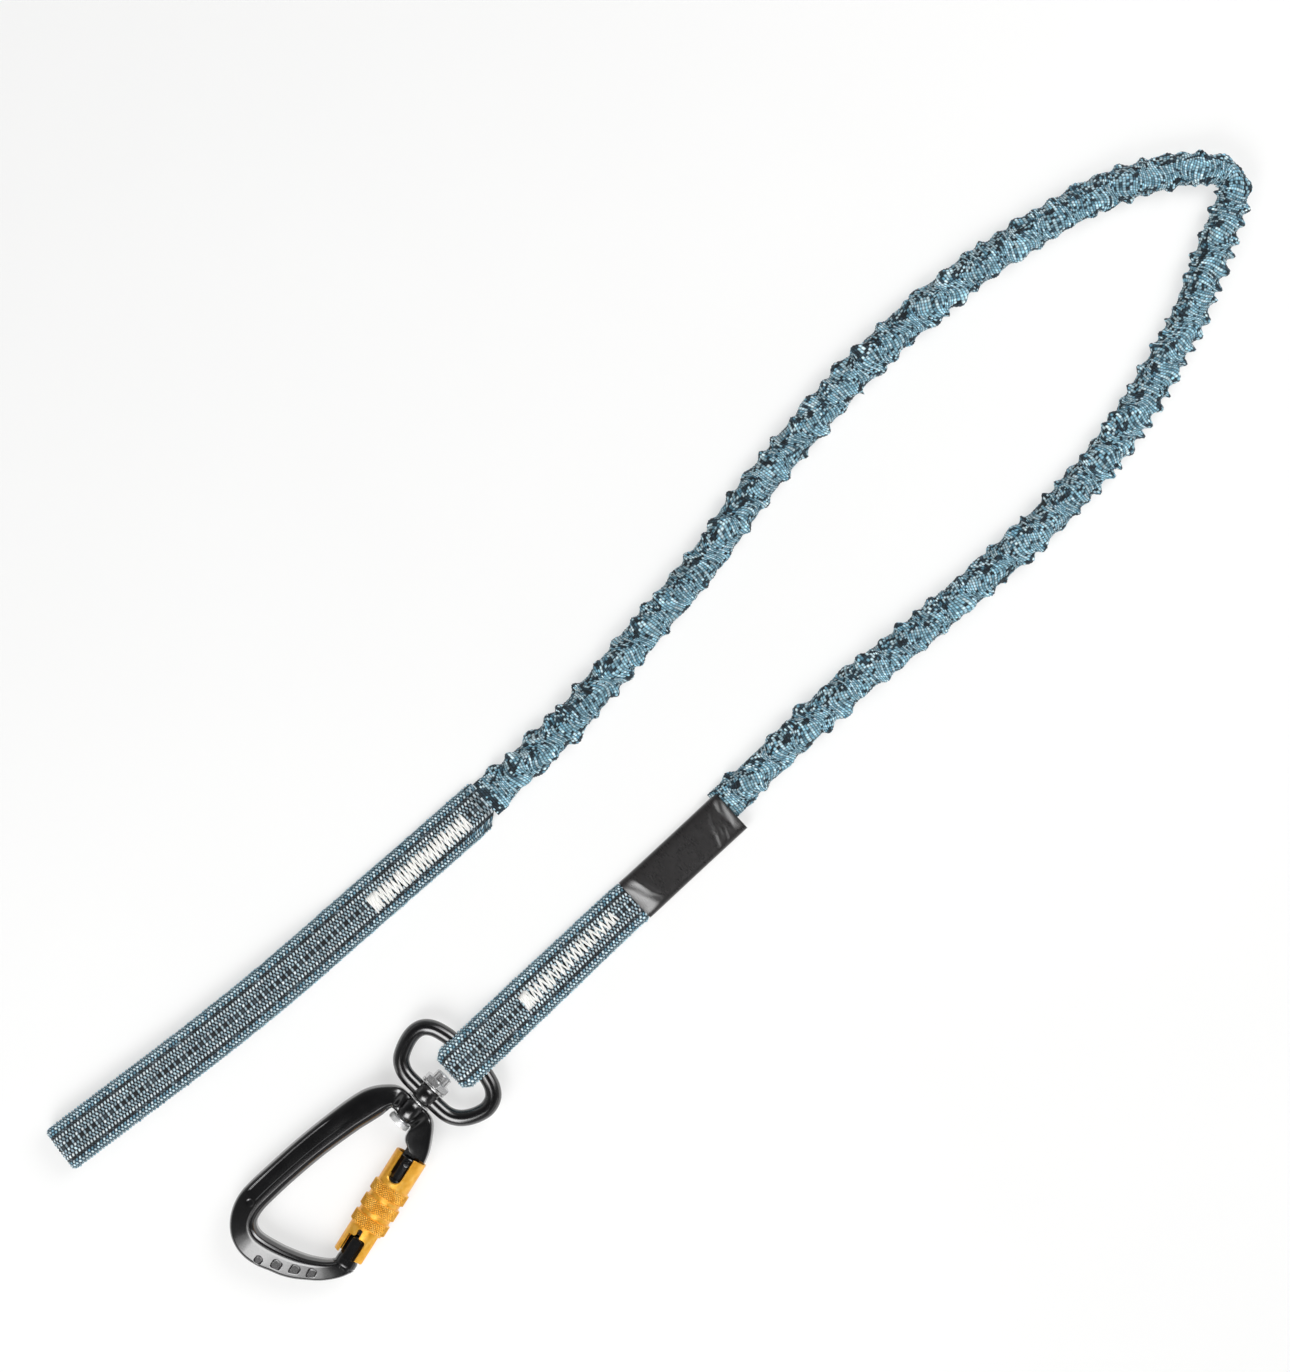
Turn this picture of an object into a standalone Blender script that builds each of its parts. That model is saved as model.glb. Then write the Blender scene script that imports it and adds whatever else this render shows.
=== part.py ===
"""Elastic tool lanyard: gathered webbing bungee with a flat choke loop at one
end and, at the other, a webbing loop on a swivel eye with a locking carabiner.

Metres, +Z up. The lanyard lies flat on z = 0. +X runs from the two ends
towards the bend of the bungee, +Y from the carabiner to the choke loop.
"""

import math

import bmesh
import bpy
import numpy as np
from mathutils import Matrix, Vector

MM = 0.001

# ---------------------------------------------------------------- dimensions
# plan of the soft parts: drawn in units of PLAN metres round (PLAN_X, PLAN_Y)
PLAN = 0.294 * MM
PLAN_X = -9.2796
PLAN_Y = -990.37

WEB_WIDTH = 14.2 * MM  # flat webbing
WEB_THICK = 1.5 * MM  # tubular webbing pressed flat
PLY_GAP = 0.3 * MM
LIFT = 0.5 * MM  # room for the bobbin thread under a sewn part
THREAD = 0.4 * MM

BUNGEE_R = 5.4 * MM  # gathered cover
BUNGEE_BORE = 3.3 * MM
CORE_R = 2.9 * MM
BUNGEE_Z = 5.45 * MM

LOOP_GAP = 5.4 * MM  # the choke loop stands open by this

LABEL_WIDTH = 14.1 * MM
LABEL_TOP = 5.4 * MM
LABEL_WALL = 0.5 * MM

# carabiner and swivel: drawn in mm round the swivel axis
SWIVEL_PLAN = (-483.0, -1075.0)
AXIS_Z = 5.75 * MM
BODY_H = 4.3  # half thickness of the forging
EYE_R = 2.5
EYE_BOSS_R = 4.4
BOLT_R = 2.0
EYE_BAR_X = 20.0  # the bar the webbing runs over

# gate: drawn in mm along its axis from the sleeve's nose end
GATE_START = (-46.3, -17.5)
GATE_ANGLE = math.radians(12.8)
PIN_T = 32.0
SLEEVE_LEN = 34.5
SLEEVE_R = 5.0
SLEEVE_BORE = 4.4
KNURL_R = 5.74
GATE_R = 4.15
GATE_NECK_R = 3.2
NOSE_W = 2.9
NOSE_H = 2.2
TANG_H = 1.4
TANG_W = 2.6
PIN_R = 1.0

# ------------------------------------------------------------------ colours
BLUE = (0.20, 0.34, 0.42, 1)
BLACK = (0.012, 0.012, 0.013, 1)
GOLD = (0.72, 0.42, 0.07, 1)
STEEL = (0.55, 0.55, 0.56, 1)
WHITE = (0.78, 0.76, 0.72, 1)
RUBBER = (0.66, 0.58, 0.42, 1)


for old in list(bpy.data.objects):
    bpy.data.objects.remove(old)


# ------------------------------------------------------------------- helpers
def material(name, colour, metallic, rough):
    m = bpy.data.materials.new(name)
    m.use_nodes = True
    b = m.node_tree.nodes["Principled BSDF"]
    b.inputs["Base Color"].default_value = colour
    b.inputs["Metallic"].default_value = metallic
    b.inputs["Roughness"].default_value = rough
    m.diffuse_color = colour
    return m


def add(name, verts, faces, origin, colour=None, metallic=0.0, rough=0.6):
    """One closed mesh as an object whose origin is at a point of the world."""
    mesh = bpy.data.meshes.new(name)
    o = Vector(origin)
    mesh.from_pydata([tuple(Vector(v) - o) for v in verts], [], faces)
    bm = bmesh.new()
    bm.from_mesh(mesh)
    bmesh.ops.recalc_face_normals(bm, faces=bm.faces)
    if bm.calc_volume(signed=True) < 0:
        bmesh.ops.reverse_faces(bm, faces=bm.faces)
    bm.to_mesh(mesh)
    bm.free()
    obj = bpy.data.objects.new(name, mesh)
    obj.location = o
    bpy.context.scene.collection.objects.link(obj)
    if colour is not None:
        mesh.materials.append(material(name + "_mat", colour, metallic, rough))
    return obj


def boolean(obj, verts, faces, operation):
    """Joins a closed mesh to an object, or cuts it out."""
    tool = add("tool", verts, faces, (0, 0, 0))
    tool.hide_render = True
    tool.display_type = "WIRE"
    m = obj.modifiers.new("b", "BOOLEAN")
    m.solver = "EXACT"
    m.operation = operation
    m.object = tool
    bpy.context.view_layer.update()
    graph = bpy.context.evaluated_depsgraph_get()
    done = bpy.data.meshes.new_from_object(obj.evaluated_get(graph))
    obj.modifiers.remove(m)
    old = obj.data
    obj.data = done
    bpy.data.meshes.remove(old)
    bpy.data.objects.remove(tool)
    bm = bmesh.new()
    bm.from_mesh(obj.data)
    bmesh.ops.remove_doubles(bm, verts=bm.verts, dist=2e-6)
    bmesh.ops.dissolve_degenerate(bm, edges=bm.edges, dist=1e-6)
    bmesh.ops.triangulate(bm, faces=bm.faces)
    bm.to_mesh(obj.data)
    bm.free()


def loft(rings, closed=False):
    """Rings of equal length, joined by quads and capped unless closed."""
    n = len(rings[0])
    verts = [p for r in rings for p in r]
    faces = []
    last = len(rings) if closed else len(rings) - 1
    for i in range(last):
        a, b = i * n, (i + 1) % len(rings) * n
        for k in range(n):
            j = (k + 1) % n
            faces.append((a + k, a + j, b + j, b + k))
    if not closed:
        faces.append(tuple(range(n)))
        faces.append(tuple((len(rings) - 1) * n + k for k in range(n)))
    return verts, faces


def hollow(outer, inner):
    """Two lofts of equal size, one inside the other, open at both ends."""
    n, m = len(outer[0]), len(outer)
    verts = [p for r in outer for p in r] + [p for r in inner for p in r]
    faces, off = [], n * m
    for i in range(m - 1):
        for k in range(n):
            j = (k + 1) % n
            a, b = i * n, (i + 1) * n
            faces.append((a + k, a + j, b + j, b + k))
            faces.append((off + a + k, off + b + k, off + b + j, off + a + j))
    for k in range(n):
        j = (k + 1) % n
        faces.append((k, j, off + j, off + k))
        e = (m - 1) * n
        faces.append((e + k, e + j, off + e + j, off + e + k))
    return verts, faces


def through(points, step):
    """An even walk along a smooth curve through the points."""
    p = np.asarray(points, float)
    p = np.vstack([2 * p[0] - p[1], p, 2 * p[-1] - p[-2]])
    out = []
    for i in range(1, len(p) - 2):
        for t in np.linspace(0, 1, 24, endpoint=False):
            a, b, c, d = p[i - 1], p[i], p[i + 1], p[i + 2]
            out.append(
                0.5
                * (
                    2 * b
                    + (c - a) * t
                    + (2 * a - 5 * b + 4 * c - d) * t**2
                    + (3 * b - a - 3 * c + d) * t**3
                )
            )
    out.append(p[-2])
    out = np.array(out)
    s = np.r_[0, np.cumsum(np.linalg.norm(np.diff(out, axis=0), axis=1))]
    n = max(2, int(round(s[-1] / step)) + 1)
    at = np.linspace(0, s[-1], n)
    return np.stack([np.interp(at, s, out[:, k]) for k in range(out.shape[1])], 1)


def directions(path):
    d = np.gradient(np.asarray(path, float), axis=0)
    return d / np.linalg.norm(d, axis=1)[:, None]


def plan(p):
    """Plan units to world metres."""
    return ((p[0] - PLAN_X) * PLAN, (p[1] - PLAN_Y) * PLAN)


def at_swivel(x, y, z=0.0):
    """Millimetres round the swivel axis to world metres."""
    ox, oy = plan(SWIVEL_PLAN)
    return (ox + x * MM, oy + y * MM, AXIS_Z + z * MM)


def at_gate(t, w, z=0.0):
    """Millimetres along the gate's axis, across it in plan, and up."""
    c, s = math.cos(GATE_ANGLE), math.sin(GATE_ANGLE)
    return at_swivel(
        GATE_START[0] + t * c - w * s, GATE_START[1] + t * s + w * c, z
    )


def ring(place, t, r, n, turn=0.0, wide=1.0):
    """A circle round an axis: place(t, w, z) maps to the world."""
    return [
        place(
            t,
            wide * r * math.cos(turn + 2 * math.pi * k / n),
            r * math.sin(turn + 2 * math.pi * k / n),
        )
        for k in range(n)
    ]


def spun(place, profile, n):
    """A solid of revolution from (t, r) pairs, capped at both ends."""
    return loft([ring(place, t, r, n) for t, r in profile])


def pipe(place, outside, inside, n):
    """A hollow solid of revolution: profiles of equal length, outside and inside."""
    return hollow(
        [ring(place, t, r, n) for t, r in outside],
        [ring(place, t, r, n) for t, r in inside],
    )


def prism(place, outline, low, high, up):
    """An outline of (t, w) pairs between two heights; up(t, w, h) places a point."""
    return loft(
        [[place(*up(t, w, h)) for t, w in outline] for h in (low, high)]
    )


def box(place, lo, hi):
    (a, b, c), (d, e, f) = lo, hi
    return loft(
        [
            [place(t, b, c), place(t, e, c), place(t, e, f), place(t, b, f)]
            for t in (a, d)
        ]
    )


def coil(place, t0, t1, turns, r, wire, per_turn, sides):
    """A helical spring round an axis."""
    n = int(turns * per_turn) + 1
    path = []
    for i in range(n):
        a = 2 * math.pi * turns * i / (n - 1)
        path.append((t0 + (t1 - t0) * i / (n - 1), r * math.cos(a), r * math.sin(a)))
    path = np.array(path)
    d = directions(path)
    rings = []
    for p, q in zip(path, d):
        out = np.array([0, p[1], p[2]]) / r
        side = np.cross(q, out)
        rings.append(
            [
                place(
                    *(
                        p
                        + wire * math.cos(2 * math.pi * k / sides) * out
                        + wire * math.sin(2 * math.pi * k / sides) * side
                    )
                )
                for k in range(sides)
            ]
        )
    return loft(rings)


# -------------------------------------------------- the bungee and its core
BUNGEE_PLAN = [
    (-220, -909),
    (-150, -912),
    (-100, -912),
    (-50, -908),
    (0, -903),
    (100, -895),
    (200, -879),
    (300, -870),
    (400, -869),
    (500, -880),
    (600, -902),
    (650, -918),
    (700, -945),
    (730, -969),
    (743, -987),
    (742, -1000),
    (730, -1012),
    (700, -1026),
    (650, -1049),
    (600, -1069),
    (500, -1096),
    (400, -1107),
    (300, -1104),
    (200, -1096),
    (100, -1085),
    (0, -1082),
    (-54.5, -1081),
]


def bungee_path(step):
    p = through(BUNGEE_PLAN, 0.25)
    s = np.r_[0, np.cumsum(np.linalg.norm(np.diff(p, axis=0), axis=1))] * PLAN
    # closer steps where the cord turns
    d = directions(p)
    turn = np.linalg.norm(np.gradient(d, axis=0), axis=1)
    weight = np.gradient(s) * (1 + np.clip(turn * 34, 0, 4))
    run = np.cumsum(weight)
    n = int(round((run[-1] - run[0]) / step)) + 1
    at = np.linspace(run[0], run[-1], n)
    q = np.stack([np.interp(at, run, p[:, k]) for k in range(2)], 1)
    here = np.interp(at, run, s)
    e = np.stack([np.interp(here, s, d[:, k]) for k in range(2)], 1)
    return q, e / np.linalg.norm(e, axis=1)[:, None], here, s[-1]


def sweep(q, d, radii, z, n):
    rings = []
    for p, e, r, h in zip(q, d, radii, z):
        x, y = plan(p)
        side = (-e[1], e[0])
        rings.append(
            [
                (
                    x + side[0] * r * math.cos(2 * math.pi * (k + 0.5) / n),
                    y + side[1] * r * math.cos(2 * math.pi * (k + 0.5) / n),
                    h + r * math.sin(2 * math.pi * (k + 0.5) / n),
                )
                for k in range(n)
            ]
        )
    return rings


q, d, s, full = bungee_path(9.5 * MM)
ends = np.minimum(s, full - s)
tip = np.abs(s - s[np.argmax(q[:, 0])])
squeeze = 1 - 0.16 * np.clip(1 - tip / (24 * MM), 0, 1) ** 0.7
taper = 0.78 + 0.22 * np.clip(ends / (10 * MM), 0, 1)
radius = BUNGEE_R * squeeze * taper
height = BUNGEE_Z - (BUNGEE_R - radius) * 0.6
cover = hollow(
    sweep(q, d, radius, height, 10), sweep(q, d, radius * BUNGEE_BORE / BUNGEE_R, height, 10)
)
middle = plan(q[np.argmax(q[:, 0])])
add("bungee_cover", *cover, (*middle, BUNGEE_Z), BLUE, 0, 0.9)

core_r = np.minimum(CORE_R, radius * BUNGEE_BORE / BUNGEE_R - 0.45 * MM)
q, d, core_r, height = (v[1:-1] for v in (q, d, core_r, height))
add(
    "elastic_core",
    *loft(sweep(q, d, core_r, height, 8)),
    (*middle, BUNGEE_Z),
    RUBBER,
    0,
    0.7,
)


# ------------------------------------------------------------- webbing loops
def ease(x, a, b):
    t = min(max((x - a) / (b - a), 0), 1)
    return t * t * (3 - 2 * t)


def strip(points, route, width=lambda s: WEB_WIDTH):
    """Webbing folded in a vertical plane. points are (s, z) of its middle in
    metres, s along the route in plan."""
    run = np.r_[0, np.cumsum(np.linalg.norm(np.diff(route, axis=0), axis=1))]
    d = directions(route)
    pts = np.array(points)
    e = directions(pts)
    rings = []
    for (s, z), (es, ez) in zip(pts, e):
        ring_ = []
        for side, face in ((-1, -1), (1, -1), (1, 1), (-1, 1)):
            a = s - ez * face * WEB_THICK / 2
            h = z + es * face * WEB_THICK / 2
            x, y = (np.interp(a, run, route[:, k]) for k in range(2))
            if a < 0:
                x, y = route[0] + a * d[0]
            dx, dy = (np.interp(a, run, d[:, k]) for k in range(2))
            w = side * width(s) / 2
            ring_.append((x - dy * w, y + dx * w, h))
        rings.append(ring_)
    return loft(rings)


CHOKE_PLAN = [
    (-772, -856),
    (-700, -866),
    (-600, -880),
    (-500, -891),
    (-400, -898),
    (-300, -905),
    (-222, -910),
]
choke_route = np.array([plan(p) for p in through(CHOKE_PLAN, 6)])
choke_run = np.r_[
    0, np.cumsum(np.linalg.norm(np.diff(choke_route, axis=0), axis=1))
]


def s_at(route, run, x_plan):
    return float(np.interp(plan((x_plan, 0))[0], route[:, 0], run))


STITCH_A = s_at(choke_route, choke_run, -378)
STITCH_B = s_at(choke_route, choke_run, -250)


def choke_low(s):
    return WEB_THICK / 2 + LIFT * ease(s, STITCH_A - 30 * MM, STITCH_A - 8 * MM)


def choke_high(s):
    gap = PLY_GAP + (LOOP_GAP - PLY_GAP) * (
        1 - ease(s, STITCH_A - 36 * MM, STITCH_A - 4 * MM)
    )
    return choke_low(s) + WEB_THICK + gap


end_low = s_at(choke_route, choke_run, -223.5)
end_high = s_at(choke_route, choke_run, -236)
round_ = (choke_high(0.004) - choke_low(0.004)) / 2
points = [(s, choke_low(s)) for s in np.linspace(end_low, 5.2 * MM, 22)]
for a in np.linspace(0, math.pi, 13)[1:-1]:
    points.append(
        (
            5.2 * MM - (5.2 * MM - WEB_THICK / 2) * math.sin(a),
            choke_low(0) + round_ * (1 - math.cos(a)),
        )
    )
points += [(s, choke_high(s)) for s in np.linspace(5.2 * MM, end_high, 22)]
x, y = choke_route[-1]
add("choke_loop_webbing", *strip(points, choke_route), (x, y, LIFT), BLUE, 0, 0.9)


def zigzag(route, run, a, b, half, pitch, low, high, thick):
    """One thread laid in a zigzag on the webbing."""
    d = directions(route)
    n = int(round((b - a) / pitch)) * 2
    rings = []
    for i in range(n + 1):
        s = a + (b - a) * i / n
        w = (half - thick) * (1 if i % 2 else -1)
        x, y = (np.interp(s, run, route[:, k]) for k in range(2))
        dx, dy = (np.interp(s, run, d[:, k]) for k in range(2))
        r = []
        for dw, z in ((-thick, low), (thick, low), (thick, high), (-thick, high)):
            r.append((x - dy * (w + dw), y + dx * (w + dw), z))
        rings.append(r)
    return loft(rings)


top = choke_high(STITCH_B) + WEB_THICK / 2
x, y = (np.interp((STITCH_A + STITCH_B) / 2, choke_run, choke_route[:, k]) for k in range(2))
for name, low in (("choke_stitch_thread", top + 0.12 * MM), ("choke_bobbin_thread", 0.02 * MM)):
    add(
        name,
        *zigzag(
            choke_route, choke_run, STITCH_A, STITCH_B, 2.6 * MM, 2.2 * MM, low, low + THREAD, 0.9 * MM
        ),
        (x, y, low),
        WHITE,
        0,
        0.8,
    )

END_PLAN = [
    (-441, -1077),
    (-340, -1080.5),
    (-213, -1084),
    (-188, -1085.5),
    (-110, -1088.5),
    (-56, -1090.5),
]
end_route = np.array([plan(p) for p in through(END_PLAN, 6)])
end_run = np.r_[0, np.cumsum(np.linalg.norm(np.diff(end_route, axis=0), axis=1))]
BAR_S = at_swivel(EYE_BAR_X, 0)[0] - end_route[0][0]
WRAP = (EYE_R + 0.35) * MM + WEB_THICK / 2  # webbing middle from the bar's axis
END_STITCH_A = s_at(end_route, end_run, -340)
END_STITCH_B = s_at(end_route, end_run, -213)
LABEL_A = s_at(end_route, end_run, -188)
LABEL_B = s_at(end_route, end_run, -56)
FLAT = LIFT + 0.3 * MM + WEB_THICK / 2


def end_width(s):
    """The label gathers the webbing a little."""
    return WEB_WIDTH - 2.4 * MM * ease(s, LABEL_A - 2.5 * MM, LABEL_A - 0.3 * MM)


def end_low_z(s):
    near = AXIS_Z - WRAP
    return near + (FLAT - near) * ease(s, BAR_S + 3 * MM, END_STITCH_A - 4 * MM)


def end_high_z(s):
    near = AXIS_Z + WRAP
    far = FLAT + WEB_THICK + PLY_GAP
    return near + (far - near) * ease(s, BAR_S + 2 * MM, END_STITCH_A - 4 * MM)


turn_s = WRAP + WEB_THICK / 2


def end_stops(last):
    return [
        *np.linspace(turn_s, END_STITCH_A, 14),
        *np.linspace(END_STITCH_A, LABEL_A - 2.5 * MM, 4)[1:],
        LABEL_A - 1.4 * MM,
        LABEL_A - 0.3 * MM,
        LABEL_A + 6 * MM,
        last,
    ]


points = [(s, end_low_z(s)) for s in end_stops(LABEL_B - 3 * MM)[::-1]]
for a in np.linspace(0, math.pi, 13)[1:-1]:
    points.append((turn_s - WRAP * math.sin(a), AXIS_Z - WRAP * math.cos(a)))
points += [(s, end_high_z(s)) for s in end_stops(LABEL_B - 14 * MM)]
x, y = (np.interp(LABEL_B, end_run, end_route[:, k]) for k in range(2))
add("end_loop_webbing", *strip(points, end_route, end_width), (x, y, LIFT), BLUE, 0, 0.9)

top = end_high_z(END_STITCH_B) + WEB_THICK / 2
low_face = FLAT - WEB_THICK / 2
x, y = (np.interp((END_STITCH_A + END_STITCH_B) / 2, end_run, end_route[:, k]) for k in range(2))
for name, low in (
    ("end_stitch_thread", top + 0.12 * MM),
    ("end_bobbin_thread", low_face - 0.12 * MM - THREAD),
):
    add(
        name,
        *zigzag(
            end_route, end_run, END_STITCH_A, END_STITCH_B, 2.4 * MM, 2.2 * MM, low, low + THREAD, 0.9 * MM
        ),
        (x, y, low),
        WHITE,
        0,
        0.8,
    )
add(
    "hidden_bartack_thread",
    *zigzag(
        end_route,
        end_run,
        LABEL_A + 8 * MM,
        LABEL_A + 18 * MM,
        3.6 * MM,
        2.0 * MM,
        top + 0.12 * MM,
        top + 0.12 * MM + THREAD,
        0.9 * MM,
    ),
    (x, y, top),
    BLACK,
    0,
    0.8,
)


# --------------------------------------------------------------- label sleeve
def label_ring(s, inset):
    x, y = (np.interp(s, end_run, end_route[:, k]) for k in range(2))
    d = directions(end_route)
    dx, dy = (np.interp(s, end_run, d[:, k]) for k in range(2))
    half = LABEL_WIDTH / 2 + 0.55 * MM - inset
    low, high = inset, LABEL_TOP - inset
    mid, tall = (low + high) / 2, (high - low) / 2
    out = []
    for w, h in (
        (-1, 0), (-0.985, -0.6), (-0.9, -1), (0.9, -1), (0.985, -0.6),
        (1, 0), (0.985, 0.6), (0.9, 1), (-0.9, 1), (-0.985, 0.6),
    ):
        out.append((x - dy * w * half, y + dx * w * half, mid + h * tall))
    return out


stops = np.linspace(LABEL_A, LABEL_B, 6)
x, y = (np.interp(stops[3], end_run, end_route[:, k]) for k in range(2))
add(
    "label_sleeve",
    *hollow(
        [label_ring(s, 0) for s in stops], [label_ring(s, LABEL_WALL) for s in stops]
    ),
    (x, y, LABEL_TOP / 2),
    BLACK,
    0,
    0.5,
)

# ----------------------------------------------------------------- swivel eye
EYE_HALF = [
    (3.1, 0.0),
    (3.1, 4.0),
    (3.15, 7.4),
    (4.4, 10.6),
    (7.0, 13.2),
    (10.4, 14.9),
    (13.4, 15.4),
    (16.2, 14.6),
    (18.3, 12.3),
    (19.5, 9.0),
    (20.0, 5.6),
    (20.0, 0.0),
]
eye = [*EYE_HALF, *[(x, -y) for x, y in EYE_HALF[-2:0:-1]]]
eye = np.array(eye)
dense = through([*eye, eye[0]], 2.6)[:-1]
d = np.roll(dense, -1, 0) - np.roll(dense, 1, 0)
d /= np.linalg.norm(d, axis=1)[:, None]
rings = [
    [
        at_swivel(
            p[0] - e[1] * EYE_R * math.cos(2 * math.pi * k / 12),
            p[1] + e[0] * EYE_R * math.cos(2 * math.pi * k / 12),
            EYE_R * math.sin(2 * math.pi * k / 12),
        )
        for k in range(12)
    ]
    for p, e in zip(dense, d)
]
eye = add("swivel_eye", *loft(rings, True), at_swivel(EYE_BAR_X, 0), BLACK, 0.6, 0.35)
boolean(eye, *spun(at_swivel, [(0.6, 4.0), (1.0, EYE_BOSS_R), (5.4, EYE_BOSS_R), (5.8, 4.0)], 24), "UNION")
boolean(eye, *spun(at_swivel, [(-2, BOLT_R + 0.3), (9, BOLT_R + 0.3)], 24), "DIFFERENCE")

# ------------------------------------------------------------- swivel fittings
bolt = add(
    "swivel_bolt",
    *spun(
        at_swivel,
        [(-8.8, 2.8), (-8.4, 3.3), (-7.2, 3.3), (-7.15, BOLT_R), (10.9, BOLT_R), (11.3, 1.6)],
        24,
    ),
    at_swivel(0, 0),
    STEEL,
    1,
    0.3,
)
for name, a, b, r, colour in (
    ("bolt_head_washer", -7.05, -6.75, 3.3, STEEL),
    ("thrust_washer", -0.05 + 0.12, 0.45, 3.9, STEEL),
    ("nut_washer", 5.95, 6.75, 4.2, STEEL),
):
    add(
        name,
        *pipe(at_swivel, [(a, r), (b, r)], [(a, BOLT_R + 0.12)] + [(b, BOLT_R + 0.12)], 24),
        at_swivel(a, 0),
        colour,
        1,
        0.3,
    )
add(
    "swivel_nut",
    *pipe(
        at_swivel,
        [(6.9, 4.0), (7.1, 4.26), (8.3, 4.26), (8.6, 3.9), (8.65, 2.72), (10.3, 2.72), (10.5, 2.5)],
        [(t, BOLT_R + 0.12) for t in (6.9, 7.1, 8.3, 8.6, 8.65, 10.3, 10.5)],
        24,
    ),
    at_swivel(7, 0),
    STEEL,
    1,
    0.3,
)

# ------------------------------------------------------------- carabiner body
# outer and inner edge of the forging and its half thickness, nose to arm
BODY = [
    ((-48.7, -21.4), (-50.4, -14.8), 3.3),
    ((-51.8, -20.2), (-51.3, -13.8), 3.7),
    ((-54.4, -18.5), (-52.2, -12.6), 4.0),
    ((-56.9, -16.3), (-53.3, -11.0), 4.2),
    ((-59.4, -13.4), (-54.5, -9.1), BODY_H),
    ((-61.9, -10.2), (-55.6, -6.9), BODY_H),
    ((-64.0, -7.1), (-56.6, -4.6), BODY_H),
    ((-65.9, -3.9), (-57.6, -2.1), BODY_H),
    ((-67.3, -0.6), (-58.4, 0.5), BODY_H),
    ((-68.1, 2.7), (-59.1, 3.1), BODY_H),
    ((-68.2, 5.9), (-59.5, 5.4), BODY_H),
    ((-67.5, 9.1), (-59.3, 7.0), BODY_H),
    ((-66.0, 12.0), (-58.7, 8.2), BODY_H),
    ((-63.6, 14.6), (-57.7, 9.0), BODY_H),
    ((-60.4, 16.7), (-56.2, 9.5), BODY_H),
    ((-56.4, 18.1), (-54.4, 9.8), BODY_H),
    ((-52.0, 18.5), (-51.6, 9.9), BODY_H),
    ((-43.2, 18.2), (-42.6, 9.6), BODY_H),
    ((-31.5, 17.5), (-30.6, 8.6), BODY_H),
    ((-19.7, 16.2), (-18.8, 6.8), BODY_H),
    ((-13.2, 15.2), (-13.4, 5.6), BODY_H),
    ((-8.5, 14.0), (-10.2, 4.9), BODY_H),
    ((-5.2, 12.2), (-8.2, 4.7), BODY_H),
    ((-2.6, 10.0), (-7.2, 4.6), 4.2),
    ((-0.9, 8.1), (-6.7, 4.5), 4.1),
    ((-0.15, 6.0), (-6.5, 4.3), 3.9),
    ((-0.1, 4.2), (-6.5, 3.8), 3.4),
    ((-0.1, 2.4), (-6.4, 2.3), 3.8),
    ((-0.1, 0.0), (-6.4, 0.0), 4.1),
    ((-0.1, -2.3), (-6.4, -2.0), 3.8),
    ((-0.1, -4.0), (-6.5, -3.5), 3.4),
    ((-0.2, -5.5), (-7.3, -3.75), 3.9),
    ((-0.7, -7.0), (-8.8, -3.85), 4.0),
    ((-2.2, -8.7), (-10.0, -4.5), 4.0),
    ((-4.8, -10.7), (-10.7, -5.2), 3.9),
    ((-8.0, -12.8), (-11.2, -6.4), 3.7),
    ((-11.2, -14.1), (-11.75, -7.7), 3.4),
]
# the bow's inner face is straight here, where a load hangs
FLAT_FROM, FLAT_TO = 5, 8


def section(outer, inner, h):
    """Across the forging: chamfered inside, a long slope outside."""
    o, i = np.array(outer), np.array(inner)
    a = o - i
    out = []
    for u, v in (
        (0.0, 0.58), (0.12, 0.9), (0.24, 1.0), (0.52, 1.0), (0.90, 0.72), (1.0, 0.42),
        (1.0, -0.42), (0.90, -0.72), (0.52, -1.0), (0.24, -1.0), (0.12, -0.9), (0.0, -0.58),
    ):
        p = i + a * u
        out.append(at_swivel(p[0], p[1], v * h))
    return out


stations = [list(b) for b in BODY]
a, b = np.array(BODY[FLAT_FROM][1]), np.array(BODY[FLAT_TO][1])
for k in range(FLAT_FROM, FLAT_TO + 1):
    p = a + (b - a) * (k - FLAT_FROM) / (FLAT_TO - FLAT_FROM)
    stations[k][1] = tuple(p)
body = add(
    "carabiner_body",
    *loft([section(*b) for b in stations]),
    at_swivel(0, 0),
    BLACK,
    0.6,
    0.4,
)
# nose: a block that the sleeve closes over
boolean(
    body,
    *loft(
        [
            [
                at_gate(t, w * NOSE_W * k, z * NOSE_H * k)
                for w, z in (
                    (-1, -0.6), (-0.75, -1), (0.75, -1), (1, -0.6),
                    (1, 0.6), (0.75, 1), (-0.75, 1), (-1, 0.6),
                )
            ]
            for t, k in ((-4.6, 1), (5.5, 1), (6.5, 0.72))
        ]
    ),
    "UNION",
)
# tang between the gate's ears, with a cam that works the closing plunger
cam = [(4.6, -TANG_W), (4.6, TANG_W)]
for a in np.linspace(90, 270, 15):
    lobe = TANG_W + 0.5 * ease(a, 135, 156) * (1 - ease(a, 160, 178))
    cam.append((lobe * math.cos(math.radians(a)), lobe * math.sin(math.radians(a))))
boolean(
    body,
    *prism(at_gate, [(PIN_T + t, w) for t, w in cam], -TANG_H, TANG_H, lambda t, w, h: (t, w, h)),
    "UNION",
)


def upright(t, r, low, high, n):
    """A round bar along Z through the gate's axis."""
    return loft(
        [
            [
                at_gate(
                    t + r * math.cos(2 * math.pi * k / n),
                    r * math.sin(2 * math.pi * k / n),
                    z,
                )
                for k in range(n)
            ]
            for z in (low, high)
        ]
    )


boolean(body, *upright(PIN_T, PIN_R + 0.06, -3, 3, 16), "DIFFERENCE")
boolean(body, *spun(at_swivel, [(-9.5, BOLT_R + 0.15), (2, BOLT_R + 0.15)], 24), "DIFFERENCE")

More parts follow.
